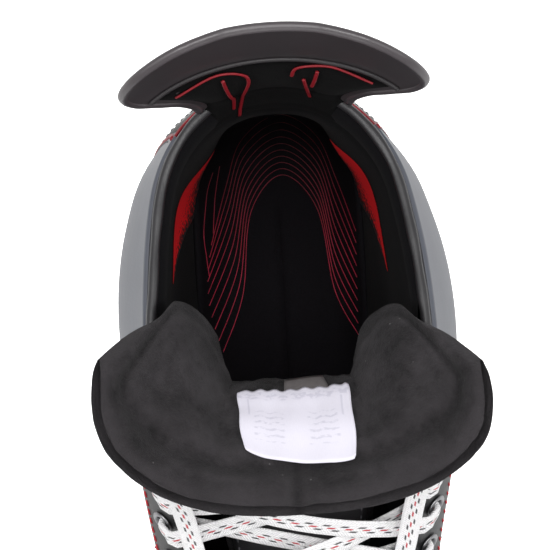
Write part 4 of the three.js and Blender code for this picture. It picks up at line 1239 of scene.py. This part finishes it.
def bed_z(x, y):
    """The footbed's height: a dish that turns up towards the wall, most at the heel."""
    rise = 22 - 14 * smooth((x + 110) / 100) - 4 * smooth(x / 80)
    return sole_z(x) + 8.4 + rise * np.clip((bed_reach(x, y) - 0.62) / 0.42, 0, 1.15) ** 2


def footbed():
    """The knit top of the footbed, in rings round a spine along its middle."""
    run = 0.5 - 0.5 * np.cos(np.linspace(0, math.pi, 70))
    back, front = back_x(86) + 10, 148
    xs = back + (front - back) * run
    spine = -92 + 200 * run
    walls = [shell_y(xs, sole_z(xs) + 10, side, 9.9) for side in (1, -1)]
    rings = []
    for t in np.concatenate([[0], np.linspace(0.12, 1.05, 22)]):
        x = spine + (xs - spine) * t
        inner, outer = (middle_y(x) + (wall - middle_y(xs)) * t for wall in walls)
        x = np.concatenate([x, x[-2:0:-1]])
        y = np.concatenate([inner, outer[-2:0:-1]])
        rings.append(np.stack([x, y, bed_z(x, y)], axis=1))
    p = np.stack(rings, axis=1)
    made = pane(p, "footbed_top", "footbed", (p[0, 0, 0], p[0, 0, 1], -500), wrap=True, thick=1.6)
    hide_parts("footbed")


def bed_line(name, points):
    """A fine raised line printed on the footbed, through places seen from above."""
    x, y = evenly(spline(points, np.linspace(0, 1, 200)), 150).T
    e = 0.5
    dx = (bed_z(x + e, y) - bed_z(x - e, y)) / (2 * e)
    dy = (bed_z(x, y + e) - bed_z(x, y - e)) / (2 * e)
    path = np.stack([x, y, bed_z(x, y) + 0.15], axis=1)
    normal = np.stack([-dx, -dy, np.ones_like(dx)], axis=1)
    sweep(name, path, normal, 0.14, 0.15, "contour", sides=6, square=2)


# The footbed's outermost and innermost contour line, from the inner side round the heel to the outer side.
CONTOUR_OUTER = [(-82, 29), (-103, 23), (-120, 16), (-128, 2), (-120, -13), (-103, -20), (-80, -27)]
CONTOUR_INNER = [(-42, 28), (-60, 20), (-92, 15), (-106, 2), (-92, -11), (-60, -16), (-38, -25)]


SIDE_ARCS = [
    [(-108, -24.7), (-101.5, -27), (-94.5, -28.2), (-84, -29.4), (-75.5, -29), (-68, -28.4)],
    [(-110.5, -22), (-104, -23.5), (-98.5, -24.5), (-92.5, -25.2), (-84.5, -26)],
]
NESTED = 10


def footbed_contours():
    """Nested lines round the heel that draw together under the arch and fan out, and two arcs beside them."""
    outer, inner = np.array(CONTOUR_OUTER), np.array(CONTOUR_INNER)
    for k in range(NESTED):
        f = k / (NESTED - 1)
        line = outer * (1 - f) + inner * f
        line[-1, 1] -= 3.2 * math.sin(math.pi * f)
        line[-2, 1] -= 1.2 * math.sin(math.pi * f)
        bed_line(f"footbed_contour_{k + 1}", line)
    for k, arc in enumerate(SIDE_ARCS):
        bed_line(f"footbed_contour_{NESTED + 1 + k}", arc)


def heel_lining(y, z, lift=0.4):
    """Points on the lining's back wall, at given places across and up."""
    sides = []
    for side in (-1, 1):
        low = back_x(z) + lining_depth(back_x(z) + 8, z)
        high = low + 24
        for _ in range(20):
            mid = (low + high) / 2
            inside = np.abs(lining_y(mid, z, side)) < np.abs(y)
            low = np.where(inside, mid, low)
            high = np.where(inside, high, mid)
        sides.append(lining(low, z, side, lift))
    return np.where((y < 0)[..., None], sides[0], sides[1])


# ---- Tendon guard -------------------------------------------------------------------------------
GUARD_Z = [215.4, 228, 238, 246, 254, 262, 270, 278, 285, 289.5]
guard_half = through(GUARD_Z, [25, 27.5, 31, 37, 43.5, 46.5, 45, 39.5, 29, 14])
guard_back = through([217, 238, 262, 290], [-133.6, -133.4, -136, -140.5])
guard_radius = through([217, 238, 262, 290], [35, 58, 98, 90])


def guard_face(u, v, depth):
    """Points of the guard: u across from one wing (0) to the other (1), v up, depth in from its back face."""
    u, v, depth = arrays(u, v, depth)
    z = GUARD_Z[0] + (GUARD_Z[-1] - GUARD_Z[0]) * v
    r = guard_radius(z)
    angle = np.arcsin((2 * u - 1) * guard_half(z) / r)
    rise = np.clip(1 - v / 0.25, 0, 1) * 5 * (2 * u - 1) ** 2
    x = guard_back(z) + r - (r - depth) * np.cos(angle)
    return np.stack([x, (r - depth) * np.sin(angle), z + rise], axis=-1)


def pad_top(u):
    """The padding's upper edge, as a share of the guard's height."""
    return 0.585 - 0.12 * (2 * u - 1) ** 2


def pad_depth(u, v):
    """How deep the guard's padding stands at a place on its face."""
    k = np.clip((v - 0.02) / (pad_top(u) - 0.02), 0, 1)
    swell = np.sin(np.pi * k) ** 0.45 * (1 - np.clip(np.abs(2 * u - 1) / 0.91, 0, 1) ** 8)
    return 2.5 + 4.4 * swell * (1 - 0.35 * k)


# The soft wall inside the heel: it starts on the lining at the first height and ends on the guard's padding.
WALL_LOW = 203
WALL_TOP = 226


def guard_padding_at(y, z, lift):
    """Points on the guard's padding, at given places across and up."""
    v = (z - GUARD_Z[0]) / (GUARD_Z[-1] - GUARD_Z[0])
    u = 0.5 + 0.5 * np.clip(y * 1.04 / guard_half(z), -0.98, 0.98)
    return guard_face(u, v, pad_depth(u, v) + lift)


def heel_wall(y, z, lift=0.4):
    """Points on the inside of the heel: lining, then the soft wall over the collar's roll, then padding."""
    y, z = arrays(y, z)
    low = heel_lining(y, np.minimum(z, WALL_LOW + 5), lift)
    high = guard_padding_at(y, np.maximum(z, WALL_TOP), lift)
    t = smooth((z - WALL_LOW) / (WALL_TOP - WALL_LOW))[..., None]
    p = low * (1 - t) + high * t
    p[..., 2] = z
    return p


def bend_over_heel(piece):
    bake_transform(piece)


def heel_wall_inner():
    """The soft inner wall between boot and guard. Its ends and sides sink into what they meet."""
    u = np.linspace(-1, 1, 61)[:, None]
    z = np.linspace(WALL_LOW - 5, WALL_TOP + 3, 26)[None]
    y = (23.5 + 2.5 * smooth((z - 212) / 8)) * u
    ends = smooth((z - WALL_LOW + 5) / 5) * smooth((WALL_TOP + 3 - z) / 6)
    p = heel_wall(y, z, 0.85 * ends - 0.4)
    sides = smooth((np.abs(u) - 0.8) / 0.2)
    p[..., 0] -= 3.2 * sides * np.sin(math.pi * (z - WALL_LOW + 5) / (WALL_TOP - WALL_LOW + 8))
    bend_over_heel(grid("heel_wall_inner", p, "guard_lining", body=None, flip=True, fine=1))


def guard_neck():
    """The folded gaiter that closes the gap between boot and guard on the outside."""
    u = np.linspace(0.04, 0.96, 50)[:, None]
    t = np.linspace(0, 1, 14)[None, :, None]
    top = guard_face(u, 0.09, 1.0)
    low = guard_face(u, 0.0, 1.6) + [0.4, 0, -9.0]
    low[..., 2] -= 5 * (2 * u - 1) ** 2
    folds = 0.9 * np.sin(t * np.pi) + 0.35 * np.sin(t * np.pi * 6)
    p = low * (1 - t) + top * t - np.array([1.0, 0, 0]) * folds
    bend_over_heel(grid("guard_neck", p, "binding", body=None, fine=1))


# Red piping inside the heel, as places across and up: two long edges with a turned-down end, and three
# short arms.
HEEL_STROKES = [
    [(-31, 250), (-18, 256), (-10, 254), (-8, 247), (-11, 228), (-12, 192)],
    [(-16, 252), (-15, 232), (-14, 213)],
    [(31, 252), (18, 257), (8, 256), (6, 250)],
    [(14, 254), (13.5, 247), (13, 241)],
    [(10, 247), (12, 233), (13, 220)],
]


def heel_strokes():
    """The red piping, laid on lining, wall and padding alike."""
    for k, stroke in enumerate(HEEL_STROKES):
        line = spline(stroke, np.linspace(0, 1, 40))
        path = heel_wall(*line.T, 0.75)
        way = heel_wall(*line.T, 2.5) - path
        name = f"heel_stroke_{k + 1}"
        bend_over_heel(sweep(name, path, way, 0.62, 0.4, "red_piping", body=None, sides=8, square=2))


def guard_shell():
    """The tendon guard's bent plate with a rolled rim round its free edges."""
    u = (0.5 - 0.5 * np.cos(np.linspace(0, math.pi, 56)))[:, None]
    v = np.linspace(0, 1, 50)[None]
    body = grid("guard_body", guard_face(u, v, 0.0), "guard", body="guard")
    inner = grid("guard_front", guard_face(u, v, 2.4), "guard", body="guard", flip=True)
    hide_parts("guard_shell")
    rise = np.linspace(0.02, 1, 60)
    edge_u = np.concatenate([0 * rise, np.linspace(0, 1, 24)[1:-1], 0 * rise + 1])
    edge_v = np.concatenate([rise, np.ones(22), rise[::-1]])
    path = evenly(guard_face(edge_u, edge_v, 1.2), 170)
    normal = unit(path - guard_face(0.5, 0.4, 40))
    normal[:, 0] = -1.0
    normal[:, 2] = 0.25
    # the rim takes the lighter guard_rim look, a painted highlight
    rim = sweep("guard_rim", path, normal, 1.5, 1.55, "guard_rim", body="guard", sides=14, square=2.4)


def guard_folds():
    """The two moulded ridges across the guard, above its padding."""
    u = np.linspace(0.03, 0.97, 90)
    v = 0.60 - 0.12 * (2 * u - 1) ** 2
    path = guard_face(u, v, 2.9)
    way = guard_face(u, v, 5) - path
    # both folds take the darker guard_fold look, painted shade
    sweep("guard_fold", path, way, 1.2, 0.75, "guard_fold", body="guard", square=2)
    low = guard_face(u, v - 0.055, 3.2)
    inside = slice(8, -8)
    sweep("guard_fold_low", low[inside], way[inside], 0.8, 0.5, "guard_fold", body="guard", square=2)


def guard_padding():
    """The pad bonded to the guard's inner face."""
    u = np.linspace(0.045, 0.955, 60)[:, None]
    v = 0.02 + (pad_top(u) - 0.02) * np.linspace(0, 1, 26)[None]
    p = guard_face(u, v, pad_depth(u, v))
    pad = grid("guard_padding", p, "guard_lining", body="guard", flip=True, fine=1)
    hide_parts("guard_pad")


# ---- Tongue -------------------------------------------------------------------------------------
# Rows from the vamp to the rim: x and z of the middle, how far the wings sweep, their way in x and z, and
# the half width.
TONGUE_ROWS = [
    (86, 121, 8, -0.35, -0.94, 19), (58, 137, 11, -0.6, -0.8, 25), (32, 158, 15, -0.7, -0.7, 29),
    (8, 182, 20, -0.8, -0.6, 31), (-12, 204, 25, -0.95, -0.3, 31), (-27, 223, 25, -1, 0, 31),
    (-18.5, 240, 33.5, -1, 0, 49), (7, 258, 46, -1, -0.05, 67),
]
tongue_x, tongue_z, tongue_sweep, tongue_way_x, tongue_way_z, tongue_half = (
    through(range(8), [row[k] for row in TONGUE_ROWS]) for k in range(6))
TONGUE_THICK = 6.5
LAST_ROW = 7


def tongue_base(across, along):
    """The tongue's outer face: its wings sweep back towards the heel, in two lobes below the rim."""
    corner = np.clip((np.abs(across) - 0.72) / 0.28, 0, None) ** 2 * smooth((along - 5.9) / 1.1)
    row = along - 0.34 * corner
    lean = 1 - 0.17 * smooth(across / 0.45) * smooth((along - 4.1) / 1.4)
    y = np.abs(across) * tongue_half(row)
    arc = np.abs(across) ** 2.4
    lobes = smooth((y - 17) / 14)
    bend = smooth((row - 3.6) / 1.4) * (1 - smooth((row - 5.3) / 1.5))
    back = tongue_sweep(row) * (arc + (lobes - arc) * bend) * lean
    wide = tongue_half(row) * np.sin(across * np.pi / 2.3) / math.sin(math.pi / 2.3)
    x, z = tongue_x(row) + tongue_way_x(row) * back, tongue_z(row) + tongue_way_z(row) * back
    return np.stack([x, wide, z], axis=-1)


def tongue_face(across, row, lift=0.0):
    """Points of the tongue: across from -1 to 1, row from the vamp (0) to the rim, lift towards the leg."""
    e = 0.02
    across, row, lift = arrays(across, row, lift)
    du = tongue_base(across + e, row) - tongue_base(across - e, row)
    dv = tongue_base(across, row + e) - tongue_base(across, row - e)
    return tongue_base(across, row) - unit(np.cross(du, dv)) * lift[..., None]


def rounded_edge(t, start):
    """1 inside, falling to 0 along a quarter circle between start and 1."""
    q = np.clip((t - start) / (1 - start), 0, 1)
    return np.sqrt(np.clip(1 - q * q, 0, 1))


def tongue_felt():
    """The whole tongue as one thick sheet of felt with a raised seam along its rim and a middle seam.

    It is thin at the vamp, thickens up to the rim and has rounded sides. The two faces don't meet at the rim
    itself, so the felt is open there.
    """
    last_step = np.sin(np.linspace(0, math.pi / 2, 9))[1:]
    row = np.concatenate([np.linspace(0, 6.84, 92), 6.84 + 0.16 * last_step])[:, None]
    bend = 0.95 + 0.05 * np.sin(np.linspace(0, math.pi / 2, 7))[1:]
    across = np.concatenate([-bend[::-1], np.linspace(-0.95, 0.95, 74), bend])[None]
    growth = rounded_edge((6.72 - row) / 5.72, 0)
    full = TONGUE_THICK / 2 * rounded_edge(np.abs(across), 0.90) * growth
    y = np.abs(across) * tongue_half(row)
    rim = np.minimum((LAST_ROW - row) * 24, (1 - np.abs(across)) * tongue_half(row) * 1.25)
    seam = -1.5 * np.exp(-((rim - 10) / 1.5) ** 2) * smooth((row - 5.2) / 0.8)
    groove = 1.8 * np.exp(-(y / 1.6) ** 2) * smooth((row - 6.2) / 0.5)
    puff = 1.5 * np.sin(np.clip(rim / 9.5, 0, 1) * np.pi) * smooth((row - 5.2) / 0.8)
    ridge = 1.1 * np.exp(-((rim - 13.5) / 2.4) ** 2) * smooth((row - 5.6) / 0.8)
    lumps = 0.35 * np.sin(across * 17 + 2.1 * row) * np.sin(row * 9 + 3 * across) * smooth((row - 4.5) / 0.8)
    fuzz = 0.25 * RNG.standard_normal(full.shape)
    rear = TONGUE_THICK / 2 + full + seam + puff + ridge - groove + lumps + fuzz
    front = TONGUE_THICK / 2 - full - puff * 0.5 + 0.22 * RNG.standard_normal(full.shape)
    front[:, [0, -1]] = rear[:, [0, -1]]
    p_rear, p_front = tongue_face(across, row, rear), tongue_face(across, row, front)
    ring = np.concatenate([p_rear, p_front[:, ::-1][:, 1:-1]], axis=1)
    uv = np.stack(np.broadcast_arrays(rim / 50, 0.5 + across * tongue_half(row) / 150), axis=-1)
    uv = np.concatenate([uv, uv[:, ::-1][:, 1:-1]], axis=1)
    ring, uv = ring.transpose(1, 0, 2), uv.transpose(1, 0, 2)
    made = grid("tongue_felt", ring, "felt", body=None, wrap=True, uv=uv)
    refine(made, 1)
    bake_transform(made)
    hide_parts("tongue_lower", "tongue_top")


def tongue_outer_panel():
    """The leather panel on the tongue's outer face, under the lace, with a sewn row along each edge."""
    rows = np.linspace(0.4, 4.0, 40)
    skin = tongue_face(np.linspace(-0.62, 0.62, 24)[None], rows[:, None], -1.1)
    grid("tongue_outer_panel", skin, "tongue_skin", thick=-0.8)
    for k, across in enumerate((-0.56, 0.56)):
        edge = tongue_face(across, rows, -1.5)
        stitches(f"tongue_panel_stitch_{k + 1}", edge, tongue_face(across, rows, -2.5) - edge, "grey_thread")


def tongue_label():
    """A satin care label with a wavy upper edge and faint grey rules, and the clear tab tucked above it."""
    u = np.linspace(-1, 1, 49)[:, None]
    v = np.linspace(0, 1, 26)[None]
    wave = 0.022 * np.sin(u * 24) * (1 - v)
    top = 5.64 - 0.03 * np.abs(u) - 0.01 * u
    low = 6.47 + 0.11 * np.sqrt(np.clip(1 - (u - 0.1) ** 2 / 1.25, 0, 1)) + 0.07 * u
    corner = 0.03 * np.clip((np.abs(u) - 0.94) / 0.06, 0, 1) ** 2
    row = (top + corner) * (1 - v) + (low - corner) * v + wave
    across = (0.312 - 0.087 * v) * u * (1 + 0.015 * np.sin(v * 9 + 1)) + 0.012
    lift = TONGUE_THICK + 1.5 + 0.2 * np.sin(u * 9 + v * 4) + 0.15 * np.sin(v * 13)
    uv = np.stack(np.broadcast_arrays((u + 1) / 2, v), axis=-1)
    made = grid("care_label", tongue_face(across, row, lift), "label", body="tongue", uv=uv, thick=-0.35)
    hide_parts("tongue_label")
    u = np.linspace(-1, 1, 12)[:, None]
    v = np.linspace(0, 1, 6)[None]
    lift = TONGUE_THICK + 0.8 + 0.2 * np.sin(u * 2 + 1)
    tab = tongue_face(0.085 + 0.125 * u, 5.34 + 0.34 * v - 0.03 * u, lift)
    made = grid("label_tab", tab, "tab", body="tongue", thick=-0.5)
    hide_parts("tongue_tab")


# ---- Holder, runner and fasteners ---------------------------------------------------------------
def carried(node, look, bevel=0.0):
    """Keeps a CAD node, rounds its edges and gives it its material."""
    obj = bpy.data.objects[node]
    obj.data.materials.clear()
    obj.data.materials.append(LOOKS[look])
    if bevel:
        edge = obj.modifiers.new("edge", "BEVEL")
        edge.width = bevel * MM
        edge.segments = 2
        edge.limit_method = "ANGLE"
        edge.angle_limit = math.radians(30)
    return obj


def hardware():
    """The CAD nodes that stay: holder, runner, bolts, nuts, rivets and insole board."""
    holder = carried("blade_holder", "holder")
    remesh = holder.modifiers.new("even", "REMESH")
    remesh.mode = "VOXEL"
    remesh.voxel_size = 1.1 * MM
    remesh.use_smooth_shade = True
    soften = holder.modifiers.new("soften", "SMOOTH")
    soften.factor = 0.5
    soften.iterations = 7
    carried("runner", "steel", 0.35)
    for k in (1, 2):
        carried(f"runner_bolt_{k}", "steel", 0.4)
        carried(f"runner_nut_{k}", "steel", 0.4)
    for k in range(1, 9):
        carried(f"rivet_{k}", "eyelet", 0.3)
    carried("insole_board", "board", 0.3)


# ---- Assembly -----------------------------------------------------------------------------------
make_camera()
make_stage()
for NAME, SIDE in SIDES.items():
    free_lace(NAME, SIDE)
lace_knot()
for NAME, SIDE in SIDES.items():
    for make in (lace_strand, quarter, ankle_panel, vamp_panels, facing_strip, throat_rim):
        make(NAME, SIDE)
    for make in (liner, ankle_pad, ankle_flash):
        make(NAME, SIDE)
eyelets()
collar_binding()
heel_piping()
heel_counter()
toe_cap()
outsole()
footbed()
footbed_contours()
guard_shell()
guard_folds()
guard_padding()
heel_wall_inner()
guard_neck()
heel_strokes()
tongue_felt()
tongue_outer_panel()
tongue_label()
hardware()
